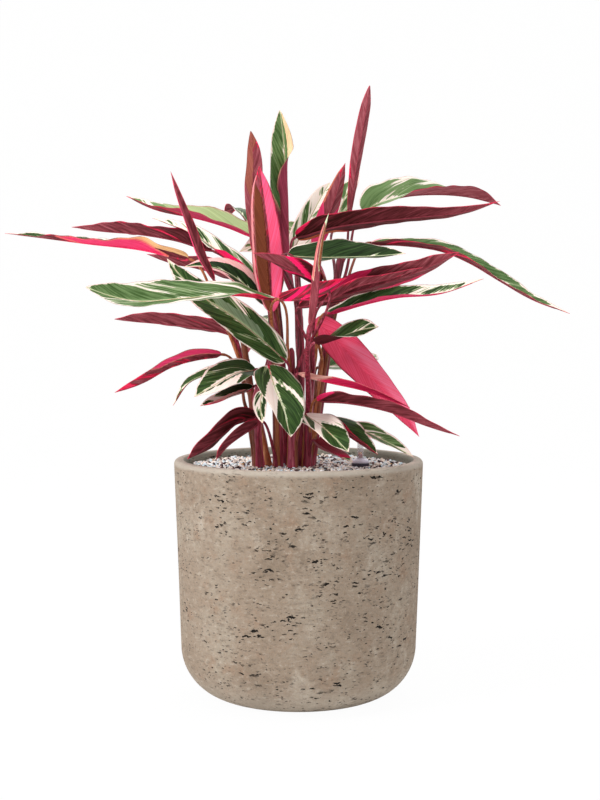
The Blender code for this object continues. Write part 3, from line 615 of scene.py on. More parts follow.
float_low, float_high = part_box("gauge_float")
bead_foot = float_high[2] - BEAD_HEIGHT
cap_foot = float_high[2] - CAP_HEIGHT
bead_top = cap_foot - 0.1 * MM
bead = [(0.0, float_low[2]), (ROD_RADIUS, float_low[2]), (ROD_RADIUS, bead_foot)]
bead += arc(ROD_RADIUS, bead_foot + BEAD_RADIUS - ROD_RADIUS, BEAD_RADIUS - ROD_RADIUS, -90, 0, 4)
bead += [(BEAD_RADIUS, bead_top), (0.0, bead_top)]
cap = [(0.0, cap_foot), (BEAD_RADIUS, cap_foot)]
cap += arc(0.9 * MM, cap_foot + 0.7 * MM, 1.5 * MM, 0, 80, 5) + [(0.0, float_high[2])]
for name, colour, shade, profile in (
    ("gauge_float_red", "#c01808", "#9c1206", bead),
    ("gauge_float_cap", "#ff9d1e", "#f08a10", cap),
):
    # Dyed polystyrene: a slightly glossy solid colour with a trace of flow marks.
    dyed, _ = moulded(name + "_polystyrene", 0.3, 1.59, colour, shade, 3, 2.0, 0.3, 0.05)
    part = add_piece(name, *turned(profile, FLOAT_TURNS, gauge_centre), dyed, "float_red")
    part.data.set_sharp_from_angle(angle=math.radians(50))
    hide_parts("gauge_float")

# ---------------------------------------------------------------- canes
# Upright, fleshy canes grow from the crown. Each is wrapped in the sheaths of older leaf stalks,
# whose open ends make small steps, and is streaked maroon, brown and pink along its length.
CANE_TURNS = 20
CANE_RINGS = 90
CANE_FOOT_RADIUS = 6.1 * MM
CANE_TOP_RADIUS = 3.7 * MM
SHEATH_LENGTH = 52 * MM         # between the open ends of two sheaths
SHEATH_STEP = 0.9 * MM
SHEATH_SLANT = 9 * MM           # an open end is higher on one side by twice this
SHEATH_OFFSET = 17 * MM         # and lies this much lower on each next cane
CANE_RIB = 0.16 * MM            # height of five faint ribs, which fade out towards the top
CANE_TIP = (0.9, 0.7, 0.4)      # radii of the last rings, over the cane's own there
PAINTED_LIGHT_FULL = 0.33                # up to here painted light makes canes and stalks palest
PAINTED_LIGHT_NONE = 0.42                  # and from here up they keep their own colours, with no painted light
CANES = {
    # colour, then points in centimetres, from below the granules to the top
    "stem_1_left": ("brown", (-5.0, -1.4, 27), (-5.4, -1.8, 32.5), (-6.0, -2.4, 39), (-7.2, -3.3, 47.5)),
    "stem_2_left_back": ("maroon", (-3.6, 1.2, 27), (-4.7, 1.5, 33), (-6.6, 2.0, 40.5), (-9.1, 2.8, 48.5)),
    "stem_3_middle": ("rose", (-2.5, -0.6, 27), (-2.6, -0.9, 35), (-3.0, -1.4, 43), (-3.5, -2.0, 48)),
    "stem_4_middle_back": ("brown", (-1.7, 1.5, 27), (-2.0, 2.1, 37), (-2.7, 3.2, 47), (-3.9, 4.6, 56)),
    "stem_5_front": ("maroon", (-0.8, -1.9, 27), (-0.7, -2.1, 33), (-0.7, -2.4, 39), (-0.9, -2.9, 45)),
    "stem_6_back": ("wine", (-0.3, 1.0, 27), (0.1, 1.3, 37), (0.2, 1.8, 47), (-0.2, 2.4, 55)),
    "stem_7_right": ("rose", (0.9, -0.8, 27), (1.1, -0.9, 33), (1.5, -1.2, 39), (2.0, -1.65, 45.7)),
    "stem_8_right_back": ("wine", (1.0, 0.7, 27), (2.0, 1.0, 34), (3.5, 1.9, 44), (5.4, 3.2, 57)),
}


def unit(v):
    """A vector made one long."""
    return np.array(v) / np.linalg.norm(v)


def place_on(line, marks, s):
    """The point of a polyline where its marks reach s."""
    return np.array([np.interp(s, marks, line[:, k]) for k in range(3)])


def even_points(line, count):
    """Points an equal length apart along a polyline."""
    run = np.concatenate([[0.0], np.cumsum(np.linalg.norm(np.diff(line, axis=0), axis=1))])
    return np.array([place_on(line, run / run[-1], s) for s in np.linspace(0.0, 1.0, count)])


def smooth_curve(points, count):
    """Catmull-Rom curve through points given in centimetres, read an equal length apart."""
    p = np.array(points, dtype=float) * CM
    padded = np.vstack([2 * p[0] - p[1], p, 2 * p[-1] - p[-2]])
    fine = []
    for i in range(1, len(padded) - 2):
        a, b, c, d = padded[i - 1 : i + 3]
        bend = 2 * a - 5 * b + 4 * c - d
        twist = 3 * b - a - 3 * c + d
        for t in np.arange(16) / 16:
            fine.append(0.5 * (2 * b + (c - a) * t + bend * t**2 + twist * t**3))
    fine.append(p[-1])
    return even_points(np.array(fine), count)


def directions(line):
    """Unit direction of travel at each point of a polyline."""
    travel = np.gradient(line, axis=0)
    return travel / np.linalg.norm(travel, axis=1)[:, None]


def swept_tube(line, radii, count):
    """Vertices and faces of a closed tube; radii is one number per ring, or one per ring point."""
    travel = directions(line)
    side = np.cross(travel[0], (0.31, 0.92, 0.24))
    turns = 2 * math.pi * np.arange(count) / count
    vertices = [line[0]]
    for i, centre in enumerate(line):
        side = unit(side - np.dot(side, travel[i]) * travel[i])
        other = np.cross(travel[i], side)
        reach = np.broadcast_to(radii[i], count)[:, None]
        round_it = np.outer(np.cos(turns), side) + np.outer(np.sin(turns), other)
        vertices += list(centre + reach * round_it)
    vertices.append(line[-1])
    faces = []
    last = len(vertices) - 1
    for k in range(count):
        n = (k + 1) % count
        faces.append((0, 1 + n, 1 + k))
        for i in range(len(line) - 1):
            a = 1 + i * count
            faces.append((a + k, a + n, a + count + n, a + count + k))
        faces.append((last - count + k, last - count + n, last))
    return np.array(vertices), faces


def fleshy_stalk(name, dark, middle, light):
    """Living stalk: smooth and waxy, with fine lengthwise streaks of three colours."""
    flesh, tree, shader = new_material(name, 0.42, 1.42)
    place = add(tree, "TexCoord", out="Object")
    long_streaks = mottle(tree, place, 2.2, 3.0, 0.6, (1, 1, 0.045))
    flecks = mottle(tree, place, 5.0, 4.0, 0.6, (1, 1, 0.3))
    tone = add(tree, "ValToRGB EASE", long_streaks, stops=((0.34, dark), (0.5, middle), (0.66, light)))
    tone = layer(tree, tone, dark, flecks, 0.52, 0.7, 0.45)
    height_of = add(tree, "SeparateXYZ", place, out="Z")
    # Painted light: the canes and stalks are paler towards their feet, where they crowd in shade.
    painted_light_tone = add(tree, "Mix SCREEN", 0.5, tone, light)
    tone = layer(tree, tone, painted_light_tone, height_of, PAINTED_LIGHT_NONE, PAINTED_LIGHT_FULL, 0.55)
    paint(tree, shader, tone, long_streaks, 0.6, 0.35)
    return flesh


STALK_FLESH = {
    "maroon": fleshy_stalk("maroon_stalk", "#52121e", "#8a2436", "#b2425c"),
    "wine": fleshy_stalk("wine_stalk", "#3c0c14", "#6c1a29", "#933047"),
    "rose": fleshy_stalk("rose_stalk", "#7e2434", "#ae4258", "#d06a7c"),
    "brown": fleshy_stalk("brown_stalk", "#542a17", "#86482a", "#9a4f45"),
    "orange": fleshy_stalk("orange_brown_stalk", "#7c3d1e", "#a65a32", "#c58258"),
}

stem_axes = {}
for number, (name, (colour, *points)) in enumerate(CANES.items()):
    stem_axes[name] = smooth_curve(points, 7)
    line = smooth_curve(points, CANE_RINGS)
    rise = (line[:, 2] - line[0, 2])[:, None]
    turns = 2 * math.pi * np.arange(CANE_TURNS) / CANE_TURNS
    open_end = SHEATH_SLANT * np.cos(turns - 1.9 * number)
    wrapped = ((rise + open_end + SHEATH_OFFSET * number) / SHEATH_LENGTH) % 1.0
    share = np.linspace(0.0, 1.0, CANE_RINGS)[:, None]
    radii = CANE_FOOT_RADIUS + (CANE_TOP_RADIUS - CANE_FOOT_RADIUS) * share
    radii = radii + SHEATH_STEP * (wrapped**0.6 - 0.6) * (1 - 0.4 * share)
    radii = radii + CANE_RIB * np.cos(5 * turns + number) * (1 - share)
    radii[-len(CANE_TIP) :] *= np.array(CANE_TIP)[:, None]
    vertices, faces = swept_tube(line, radii, CANE_TURNS)
    cane = add_piece("cane" + name[4:], vertices, faces, STALK_FLESH[colour], "stem")
    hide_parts(name)

# ---------------------------------------------------------------- leaves
# Each leaf grew as one piece: a thin stalk from a sheath on its cane, a swollen joint, and a long
# blade folded along its midrib. The upper side is green brushed with cream along the veins; the
# underside is maroon, and hot pink where the upper side is cream.
BLADE_THICKNESS = 0.55 * MM
BLADE_ROWS = 84
BLADE_COLUMNS = 16
STALK_RADIUS = 1.75 * MM
STALK_TURNS = 10
MIDRIB_FROM = 0.015             # the midrib stands out below the blade, from here
MIDRIB_TO = 0.93                # to here along it
OUTLINE_POWER = 1.17            # how pointed a blade is
STALK_FLARE = 0.5               # how far a stalk leans out as it leaves its cane
STALK_LEAVE = 1.1               # stiffness of its curve at the cane
STALK_ARRIVE = 0.8              # and at the blade
STALK_RINGS = 24
JOINT_AT = 0.94                 # along the free stalk, where the swollen joint is thickest
JOINT_REACH = 0.05              # and how far it reaches each way
JOINT_SWELL = 0.22              # how much thicker it is there
STEM_FOOT_RADIUS = 5.9 * MM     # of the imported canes, which the leaf stalks follow
STEM_TOP_RADIUS = 3.5 * MM
STALK_GAP = 2.5 * MM            # from the side of a cane to the middle of a leaf stalk on it
SHEATH_FOOT = 0.289             # the sheaths start just under the granules
SHEATH_RING = 9 * MM
SHEATH_SINK = 50 * MM           # over which a sheath closes against its cane
SHEATH_SUNK = 0.4 * MM          # its middle then lies this far inside the cane
SHEATH_TURN = 1.1               # it also winds round the cane, by up to so many radians
SHEATH_TURN_OVER = 100 * MM     # in the first so much below the leaf
RIPPLE = 1.6 * MM               # height of the waves along the margin of a blade
RIPPLE_HALF_WIDTH = 22 * MM     # half the width of that blade; a narrower one has lower waves
WAVE_LENGTH = 12.5 * MM         # from wave to wave, over 2 pi
WAVE_BUNCHING = 41 * MM         # over which waves crowd and spread, over 2 pi
FINE_WAVE_LENGTH = 5.2 * MM     # of the finer waves on them, over 2 pi
CHANNEL_DEPTH = 0.25 * MM       # the midrib is sunk in the upper side
CHANNEL_WIDTH = 1.1 * MM
PATCH_ALONG_EDGE = 0.05         # soft edges of a patch, over the blade's length
PATCH_ACROSS_EDGE = 0.16        # and over half its width
SHARE_RANGE = 0.36              # moves the pale share's threshold between none and all
FAR_FROM_MARGIN = 20.0          # millimetres, for a stalk, which has no margin
VEIN_LEAN = 2.1                 # how far a vein runs forward for each step outwards
VEIN_CURVE = 0.035              # how much it curves forward, per millimetre

# Living blade: waxy and smooth above, softer below, with close veins that lean towards the tip.
living_leaf, tree, shader = new_material("variegated_leaf", 0.44, 1.42)
where = add(tree, "SeparateXYZ", add(tree, "UVMap", uv_map="blade")).node.outputs
along_blade = add(tree, "Math MULTIPLY", where["X"], 1 / MM)
across_blade = add(tree, "Math MULTIPLY", where["Y"], 1 / MM)
outwards = add(tree, "Math ABSOLUTE", across_blade)
bend = add(tree, "Math MULTIPLY", outwards, outwards)
vein = weighted_sum(tree, (along_blade, 1.0), (outwards, -VEIN_LEAN), (bend, -VEIN_CURVE))
seed, margin, over, cream_share, pink_share, fresh, deep = [
    add(tree, "Attribute", attribute_name=key, out="Fac")
    for key in ("seed", "margin", "over", "cream", "pink", "fresh", "deep")
]
upper = add(tree, "Math GREATER_THAN", over, 0.5)
half_seed = add(tree, "Math MULTIPLY_ADD", add(tree, "Math SIGN", across_blade), 7.3, seed)


def stripes(vein_mm, across_mm, offset, detail=1.0):
    """Noise drawn out along the veins: bands vein_mm wide that change over across_mm."""
    along = add(tree, "Math DIVIDE", vein, vein_mm)
    aside = add(tree, "Math DIVIDE", across_blade, across_mm)
    place = add(tree, "CombineXYZ", along, aside, add(tree, "Math ADD", half_seed, offset))
    return add(tree, "TexNoise", place, 1.0, detail, 0.55)


shader.inputs["Specular IOR Level"].default_value = 0.1
tree.links.new(add(tree, "Math MULTIPLY_ADD", upper, -0.22, 0.64), shader.inputs["Roughness"])
broad = stripes(30.0, 60.0, 0.0)
narrow = stripes(5.5, 45.0, 5.0)
ragged = stripes(9.0, 9.0, 9.0, 2.0)
hairlines = stripes(1.8, 50.0, 14.0)
ribs = stripes(6.5, 90.0, 21.0)
field = weighted_sum(tree, (broad, 0.62), (narrow, 0.24), (ragged, 0.14))
near_margin = add(tree, "MapRange SMOOTHSTEP", margin, 3.4, 0.4)
near_rib = add(tree, "MapRange SMOOTHSTEP", outwards, 4.6, 0.8)
cream_parts = ((field, 1.0), (cream_share, 1.0), (near_margin, 0.17), (near_rib, 0.07))
cream_field = weighted_sum(tree, *cream_parts)
pink_field = weighted_sum(tree, (field, 1.0), (pink_share, 1.0), (near_margin, 0.07))
torn_margin = add(tree, "Math MULTIPLY_ADD", narrow, -1.2, margin)

# Above: deep green with lighter lines between the veins, grey-green beside the cream stripes.
green_parts = ((hairlines, 0.34), (ribs, 0.3), (ragged, 0.36), (fresh, 1.0), (near_rib, 0.05))
greens = ((0.3, "#16240e"), (0.45, "#283d1d"), (0.58, "#405b2d"), (0.75, "#738e5b"))
green = add(tree, "ValToRGB EASE", weighted_sum(tree, *green_parts), stops=greens)
pale = layer(tree, "#76895c", "#a3b189", hairlines, 0.4, 0.62)
cream = layer(tree, "#f3ded2", "#faf0e6", hairlines, 0.36, 0.66)
above = layer(tree, green, pale, cream_field, 0.488, 0.5)
above = layer(tree, above, cream, cream_field, 0.522, 0.534)
above = layer(tree, above, "#d5dcae", outwards, 1.15, 0.55, 0.8)
above = layer(tree, above, "#f6d3c8", torn_margin, 0.3, 0.0)

# Below: maroon with finer lines, crimson to hot pink where the upper side is cream.
# deep darkens the maroon; where it falls off from a blade's base towards its tip it is painted shade.
maroon_tone = weighted_sum(tree, (hairlines, 0.4), (ragged, 0.6), (deep, -1.0))
maroons = ((0.05, "#1b0906"), (0.28, "#3a1412"), (0.44, "#60242a"), (0.58, "#853a43"))
maroon = add(tree, "ValToRGB EASE", maroon_tone, stops=(*maroons, (0.74, "#a55a62")))
crimson = layer(tree, "#a3152f", "#c62c48", hairlines, 0.4, 0.62)
pink = layer(tree, "#f21248", "#ff446e", hairlines, 0.38, 0.66)
below = layer(tree, maroon, crimson, pink_field, 0.488, 0.505)
below = layer(tree, below, pink, pink_field, 0.522, 0.538)
below = layer(tree, below, "#a34250", outwards, 1.15, 0.55, 0.45)
below = layer(tree, below, "#e0405c", torn_margin, 0.3, 0.0, 0.7)

# Patches of another colour, with the fine lines in them and a ragged edge.
tint = add(tree, "Attribute", attribute_name="tint").node.outputs
tinted = layer(tree, tint["Color"], "#ffffff", hairlines, 0.3, 0.7, blend="SOFT_LIGHT")
uneven = add(tree, "Math SUBTRACT", narrow, 0.5)
tint_edge = add(tree, "Math MULTIPLY_ADD", uneven, 0.8, tint["Alpha"])
tone = layer(tree, add(tree, "Mix", upper, below, above), tinted, tint_edge, 0.45, 0.55)
quilted = weighted_sum(tree, (ribs, 0.75), (hairlines, 0.25))
paint(tree, shader, tone, quilted, 0.5, 0.9)


# Places of a blade's rows, from its base to its tip and closer together at both, and of its
# columns, from -1 to 1 across it.
ROW_AT = 0.5 - 0.5 * np.cos(np.linspace(0.035, 0.985, BLADE_ROWS) * math.pi)
COLUMN_AT = np.linspace(-1.0, 1.0, BLADE_COLUMNS + 1)
COLUMN_AT = np.sign(COLUMN_AT) * np.abs(COLUMN_AT) ** 0.9
RIB_AT = np.linspace(MIDRIB_FROM, MIDRIB_TO, 30)


def blade_faces():
    """Faces of a blade, whose points are those of its upper side, its underside and both ends.

    The two sides share the points of the margin, so the underside's rows are two points shorter.
    """
    over = np.arange(BLADE_ROWS * (BLADE_COLUMNS + 1)).reshape(BLADE_ROWS, -1)
    under = over.copy()
    under[:, 1:-1] = over.size + np.arange(over.size - 2 * BLADE_ROWS).reshape(BLADE_ROWS, -1)
    base = 2 * over.size - 2 * BLADE_ROWS
    tip = base + 1
    over = over.tolist()
    under = under.tolist()
    faces = []
    for j in range(BLADE_COLUMNS):
        for i in range(BLADE_ROWS - 1):
            faces.append((over[i][j], over[i][j + 1], over[i + 1][j + 1], over[i + 1][j]))
            faces.append((under[i][j], under[i + 1][j], under[i + 1][j + 1], under[i][j + 1]))
        faces.append((base, over[0][j + 1], over[0][j]))
        faces.append((base, under[0][j], under[0][j + 1]))
        faces.append((over[-1][j], over[-1][j + 1], tip))
        faces.append((under[-1][j + 1], under[-1][j], tip))
    return faces


BLADE_FACES = blade_faces()


def on_blade(values, at_base, at_tip):
    """Values of the rows and columns, in the order of a blade's points."""
    grid = np.broadcast_to(values, (BLADE_ROWS, BLADE_COLUMNS + 1))
    return np.concatenate([grid.ravel(), grid[:, 1:-1].ravel(), [at_base, at_tip]])


def outline(s, widest):
    """Width of a blade over its greatest width, from its base to the fine drip tip."""
    rise = OUTLINE_POWER * widest
    fall = OUTLINE_POWER * (1 - widest)
    full = s**rise * (1 - s) ** fall / (widest**rise * (1 - widest) ** fall)
    drip_tip = np.clip((s - 0.86) / 0.14, 0, 1)
    return full * (1 - 0.5 * drip_tip**1.5)


def folded(half, fold, left, right):
    """How far each point of a blade lies out from its midrib, and up from it.

    Each half is laid out from the midrib. Its fold eases off outwards, and its roll adds to it.
    """
    middle = BLADE_COLUMNS // 2
    out = np.zeros((BLADE_ROWS, BLADE_COLUMNS + 1))
    up = out.copy()
    for sign, rolls in ((-1, left), (1, right)):
        roll = np.zeros(BLADE_ROWS)
        if rolls:
            roll = np.radians(np.interp(ROW_AT, *zip(*rolls)))
        for here in range(middle + sign, middle + sign * (middle + 1), sign):
            near, far = abs(COLUMN_AT[here - sign]), abs(COLUMN_AT[here])
            across = (far + near) / 2
            angle = math.radians(fold) * (1.22 - 0.45 * across)
            angle = angle + roll * np.clip(1.6 * across, 0, 1.15)
            grow = half * (far - near)
            out[:, here] = out[:, here - sign] + sign * grow * np.cos(angle)
            up[:, here] = up[:, here - sign] + grow * np.sin(angle)
    return out, up


def ripples(half, run, number):
    """Waves of two lengths along each margin, lower where the blade is narrow."""
    rise = np.zeros((BLADE_ROWS, BLADE_COLUMNS + 1))
    height = RIPPLE * (half / RIPPLE_HALF_WIDTH)[:, None] * np.abs(COLUMN_AT) ** 1.6
    for sign, phase in ((-1, 1.3 * number), (1, 2.9 * number + 1)):
        waves = np.sin(run / WAVE_LENGTH + phase + 1.7 * np.sin(run / WAVE_BUNCHING))
        waves += 0.35 * np.sin(run / FINE_WAVE_LENGTH + 2.3 * phase)
        rise += height * (np.sign(COLUMN_AT) == sign) * waves[:, None]
    return rise


def square_to(normal, travel):
    """The part of each direction that is square to the direction of travel, as unit vectors."""
    normal = normal - (normal * travel).sum(-1, keepdims=True) * travel
    return normal / np.linalg.norm(normal, axis=-1, keepdims=True)


def stalk_line(stem_name, height, blade_base, blade_travel, number):
    """A leaf stalk's line: its sheath, up along the cane, and then its free curve to the blade."""
    axis = stem_axes[stem_name]
    level = height * CM
    travel = unit(axis[-1] - axis[0])
    centre = place_on(axis, axis[:, 2], level)
    outward = square_to(blade_base - centre, travel)

    def cane_radius(at):
        share = np.interp(at, axis[:, 2], np.linspace(0.0, 1.0, len(axis)))
        return STEM_FOOT_RADIUS + (STEM_TOP_RADIUS - STEM_FOOT_RADIUS) * share

    start = centre + outward * (cane_radius(level) + STALK_GAP)
    reach = np.linalg.norm(blade_base - start)
    leave = unit(travel + STALK_FLARE * outward) * reach * STALK_LEAVE
    arrive = blade_travel * reach * STALK_ARRIVE
    t = np.linspace(0.0, 1.0, STALK_RINGS)[:, None]
    free = (
        (2 * t**3 - 3 * t**2 + 1) * start
        + (t**3 - 2 * t**2 + t) * leave
        + (3 * t**2 - 2 * t**3) * blade_base
        + (t**3 - t**2) * arrive
    )
    sheath = []
    sheath_length = level - SHEATH_FOOT
    for drop in np.linspace(sheath_length, 0.0, max(4, int(sheath_length / SHEATH_RING)))[:-1]:
        low = level - drop
        sunk = min(drop / SHEATH_SINK, 1.0)
        turn = SHEATH_TURN * math.sin(1.7 * number) * min(drop / SHEATH_TURN_OVER, 1.0)
        away = outward * math.cos(turn) + np.cross(travel, outward) * math.sin(turn)
        radius = cane_radius(low)
        reach_out = (radius + STALK_GAP) * (1 - sunk) + (radius - SHEATH_SUNK) * sunk
        sheath.append(place_on(axis, axis[:, 2], low) + away * reach_out)
    return np.array(sheath), free


def between(where, start, end, edge):
    """1 between start and end, falling to 0 over a soft edge."""
    inside = np.clip((where - start) / edge + 0.5, 0, 1)
    return inside * np.clip((end - where) / edge + 0.5, 0, 1)


def leaf(
    node, stem_name, height, width, points, face, tip_face=None, fold=20, widest=0.36,
    cream=0.3, pink=0.2, fresh=0.0, deep=0.0, stalk="orange", girth=1.0, wave=1.0,
    left=(), right=(), tints=(), bands=(),
):
    """One leaf in place of its CAD node.

    In centimetres: height is where the stalk leaves its cane, width the blade's greatest width,
    and points lead along its middle. widest is where it is widest, as a share of its length.
    face and tip_face are where the upper side looks at the base and at the tip. fold lifts each
    half by so many degrees, and left and right roll one up by more: (place along it, degrees).
    cream and pink are the pale shares of the two sides, fresh lightens the green and deep darkens
    the maroon; the way that darkening falls off from the base towards the tip is painted shade.
    bands make the pale share larger in a patch: (side, from, to, from, to, amount), along the
    blade and then across it from -1 to 1. tints are the same with a colour. girth thickens the
    stalk, and wave deepens the ripples of the margin.
    """
    number = int(node[5:7])
    midrib = smooth_curve(points, BLADE_ROWS * 2 + 1)
    marks = np.linspace(0.0, 1.0, len(midrib))
    length = np.linalg.norm(np.diff(midrib, axis=0), axis=1).sum()
    headings = directions(midrib)
    centre = np.array([place_on(midrib, marks, s) for s in ROW_AT])
    travel = np.array([unit(place_on(headings, marks, s)) for s in ROW_AT])
    looks = np.outer(1 - ROW_AT, face) + np.outer(ROW_AT, tip_face or face)
    normal = square_to(looks, travel)
    side = np.cross(travel, normal)
    half = 0.5 * width * CM * outline(ROW_AT, widest)

    # The middle sheet of the blade, with its fold, its waves and a channel over the midrib.
    out, up = folded(half, fold, left, right)
    up += wave * ripples(half, ROW_AT * length, number)
    up -= CHANNEL_DEPTH * np.exp(-((out / CHANNEL_WIDTH) ** 2)) * (half > 4 * MM)[:, None]
    drop = half * math.sin(math.radians(fold)) / 2
    sheet = centre[:, None] - (normal * drop[:, None])[:, None]
    sheet = sheet + side[:, None] * out[..., None] + normal[:, None] * up[..., None]
    facing = np.cross(np.gradient(sheet, axis=1), np.gradient(sheet, axis=0))
    facing /= np.maximum(np.linalg.norm(facing, axis=-1, keepdims=True), 1e-9)
    facing *= np.sign((facing * normal[:, None]).sum(-1, keepdims=True) + 1e-9).mean() or 1
    thick = BLADE_THICKNESS / 2 * (1 - 0.5 * np.abs(COLUMN_AT))[None, :, None]
    top = (sheet + facing * thick).reshape(-1, 3)
    bottom = (sheet - facing * thick)[:, 1:-1].reshape(-1, 3)
    blade = np.vstack([top, bottom, midrib[0], midrib[-1]])

    # The stalk goes on as the midrib, sunk into the underside of the blade.
    sheath, free = stalk_line(stem_name, height, midrib[0], unit(midrib[1] - midrib[0]), number)
    rib_radius = STALK_RADIUS * (0.82 - 0.66 * RIB_AT**0.8)
    rib_normal = np.array([place_on(normal, ROW_AT, s) for s in RIB_AT])
    rib_drop = np.interp(RIB_AT, ROW_AT, drop)[:, None]
    rib = np.array([place_on(midrib, marks, s) for s in RIB_AT])
    rib = rib - rib_normal * (rib_drop + 0.75 * rib_radius[:, None])
    up_free = np.linspace(0.0, 1.0, len(free))
    free_radius = STALK_RADIUS * (1.0 + 0.4 * (1 - up_free) ** 2.2 - 0.12 * up_free)
    free_radius *= 1 + JOINT_SWELL * np.exp(-(((up_free - JOINT_AT) / JOINT_REACH) ** 2))
    up_sheath = np.linspace(0.0, 1.0, len(sheath))
    uneven = 0.12 * np.sin(9 * up_sheath + number)
    sheath_radius = STALK_RADIUS * (1.4 + 0.55 * (1 - up_sheath) + uneven)
    radii = np.concatenate([sheath_radius * girth, free_radius * girth, rib_radius[1:]])
    stalk_points, stalk_faces = swept_tube(np.vstack([sheath, free, rib[1:]]), radii, STALK_TURNS)
    vertices = np.vstack([blade, stalk_points])
    faces = BLADE_FACES + [tuple(v + len(blade) for v in f) for f in stalk_faces]
    first_rib = 1 + (len(sheath) + len(free)) * STALK_TURNS

    # What the leaf material reads at each point: its side, its place and the leaf's own shares.
    on_stalk = np.zeros(len(stalk_points))
    on_rib = on_stalk.copy()
    on_rib[first_rib:-1] = np.repeat(RIB_AT[1:], STALK_TURNS)
    over = np.ones((BLADE_ROWS, BLADE_COLUMNS + 1))
    over[:, 0] = over[:, -1] = 0.5
    over = np.concatenate([over.ravel(), np.zeros(len(bottom)), [0.5, 0.5], on_stalk])
    place_t = np.concatenate([on_blade(ROW_AT[:, None], 0.0, 1.0), on_rib])
    place_u = np.concatenate([on_blade(COLUMN_AT, 0.0, 0.0), on_stalk])
    half_width = np.concatenate([on_blade(half[:, None], 0.0, 0.0), on_stalk])
    across = place_u * half_width
    margin_mm = (1 - np.abs(place_u)) * half_width / MM
    margin_mm[len(blade) :] = FAR_FROM_MARGIN
    vein_foot = place_t - VEIN_LEAN * np.abs(across) / length

    def patch(on_side, t_from, t_to, u_from, u_to):
        """Mask of a patch between two veins, named by where they leave the midrib."""
        t_from = t_from if t_from > 0 else -9       # from 0 means from the very base
        inside = between(vein_foot, t_from, t_to, PATCH_ALONG_EDGE)
        inside *= between(place_u, u_from, u_to, PATCH_ACROSS_EDGE)
        return inside * ((over >= 0.5) if on_side == "over" else (over <= 0.5))

    more_pale = np.zeros(len(vertices))
    for *area, amount in bands:
        more_pale += amount * patch(*area)
    tint_colour = np.zeros((len(vertices), 4))
    if tints:
        tint_colour[:, :3] = linear(tints[0][5])[:3]
    for *area, code in tints:
        inside = patch(*area)
        tint_colour[:, :3] += inside[:, None] * (np.array(linear(code)[:3]) - tint_colour[:, :3])
        tint_colour[:, 3] = np.maximum(tint_colour[:, 3], inside)

    piece = add_piece("fine_" + node, vertices, faces, living_leaf, "leaf")
    mesh = piece.data
    mesh.materials.append(STALK_FLESH[stalk])
    stalk_slots = [int(max(f) < first_rib) for f in stalk_faces]
    mesh.polygons.foreach_set("material_index", [0] * len(BLADE_FACES) + stalk_slots)
    for key, values in (
        ("over", over),
        ("margin", margin_mm),
        ("seed", np.full(len(vertices), 3.7 * number)),
        ("cream", more_pale + (cream - 0.5) * SHARE_RANGE),
        ("pink", more_pale + (pink - 0.5) * SHARE_RANGE),
        ("fresh", np.full(len(vertices), fresh)),
        # painted shade: the maroon darkens towards the base of the blade and lightens towards the tip
        ("deep", deep * (1.15 - 0.9 * place_t) - 0.12 * place_t),
    ):
        mesh.attributes.new(key, "FLOAT", "POINT").data.foreach_set("value", values)
    tint_data = mesh.attributes.new("tint", "FLOAT_COLOR", "POINT").data
    tint_data.foreach_set("color", tint_colour.ravel())
    flat = np.stack([place_t * length, across], axis=1)
    corners = np.zeros(len(mesh.loops), dtype=np.int32)
    mesh.loops.foreach_get("vertex_index", corners)
    mesh.uv_layers.new(name="blade").data.foreach_set("uv", flat[corners].ravel())
    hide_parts(node)


leaf("leaf_01_far_left", "stem_2_left_back", height=47.3, width=4.6,
     face=(0, 0.45, 1), tip_face=(0, -0.3, 1), widest=0.3,
     points=((-14.1, 1, 56.3), (-20.2, 2, 57.9), (-27.5, 4, 58.7), (-34, 6, 59.4), (-38.9, 7.5, 59.8)),
     pink=0.35, deep=0.05, wave=1.8,
     tints=(("under", 0.0, 0.2, -1, -0.45, "#e2a06c"), ("under", 0.1, 0.6, -0.9, 0.4, "#e6305c")))
leaf("leaf_02_far_left_upper", "stem_4_middle_back", height=50, width=4.2,
     face=(0, 0.5, 1), fold=25,
     points=((-11.2, 4, 57.4), (-15.5, 6, 59.1), (-20.9, 9, 60.1), (-26.5, 12, 60.5), (-31, 14, 60.9)),
     cream=0.25, pink=0.05, deep=0.06, wave=1.6, stalk="maroon")
leaf("leaf_03_left_cream", "stem_4_middle_back", height=47, width=3.4,
     face=(0.3, -0.5, 0.8), fold=25,
     points=((-5, -0.1, 53.7), (-9.1, 1.5, 56.7), (-13.2, 3.5, 59.6), (-17, 5.5, 61.1), (-19.3, 7, 61.8)),
     cream=0.46, pink=0.5, fresh=0.02, stalk="rose",
     left=((0, 42), (0.3, 42), (0.42, 0)),
     tints=(("under", 0.0, 0.5, -1, 1, "#ff1450"),))
leaf("leaf_04_upper_left", "stem_4_middle_back", height=54, width=4.8,
     face=(0.3, -0.5, 1), tip_face=(0, -0.1, 1), fold=32,
     points=((-5.6, 5, 59.4), (-9.3, 7, 61.2), (-13.6, 9, 62.5), (-19, 11.5, 63.5), (-23.5, 14, 65.1)),
     cream=0.46, pink=0.5, fresh=0.26, stalk="maroon",
     tints=(("over", 0.0, 0.6, -1, 1, "#8a9668"), ("under", 0.0, 0.5, -1, 1, "#dc2e5a")))
leaf("leaf_05_back_left", "stem_4_middle_back", height=55.5, width=2.6,
     face=(0, 0.2, 1), tip_face=(0, 0.8, 1),
     points=((-5.7, 7.5, 59.8), (-7.4, 10, 62.5), (-9, 14, 63.6), (-10.2, 18, 62.1)),
     cream=0.2, pink=0.1, deep=0.12, stalk="maroon")
leaf("leaf_06_left_spear", "stem_3_middle", height=45, width=1.6,
     face=(0.3, 0.9, 0.2), fold=35,
     points=((-10.5, -5.5, 53.5), (-12, -6, 56.4), (-13.4, -6.5, 60.2), (-14.8, -7, 64), (-15.7, -7, 66.8)),
     cream=0.2, deep=0.1, stalk="rose",
     tints=(("under", 0.0, 0.9, 0.7, 1, "#d8345c"),))
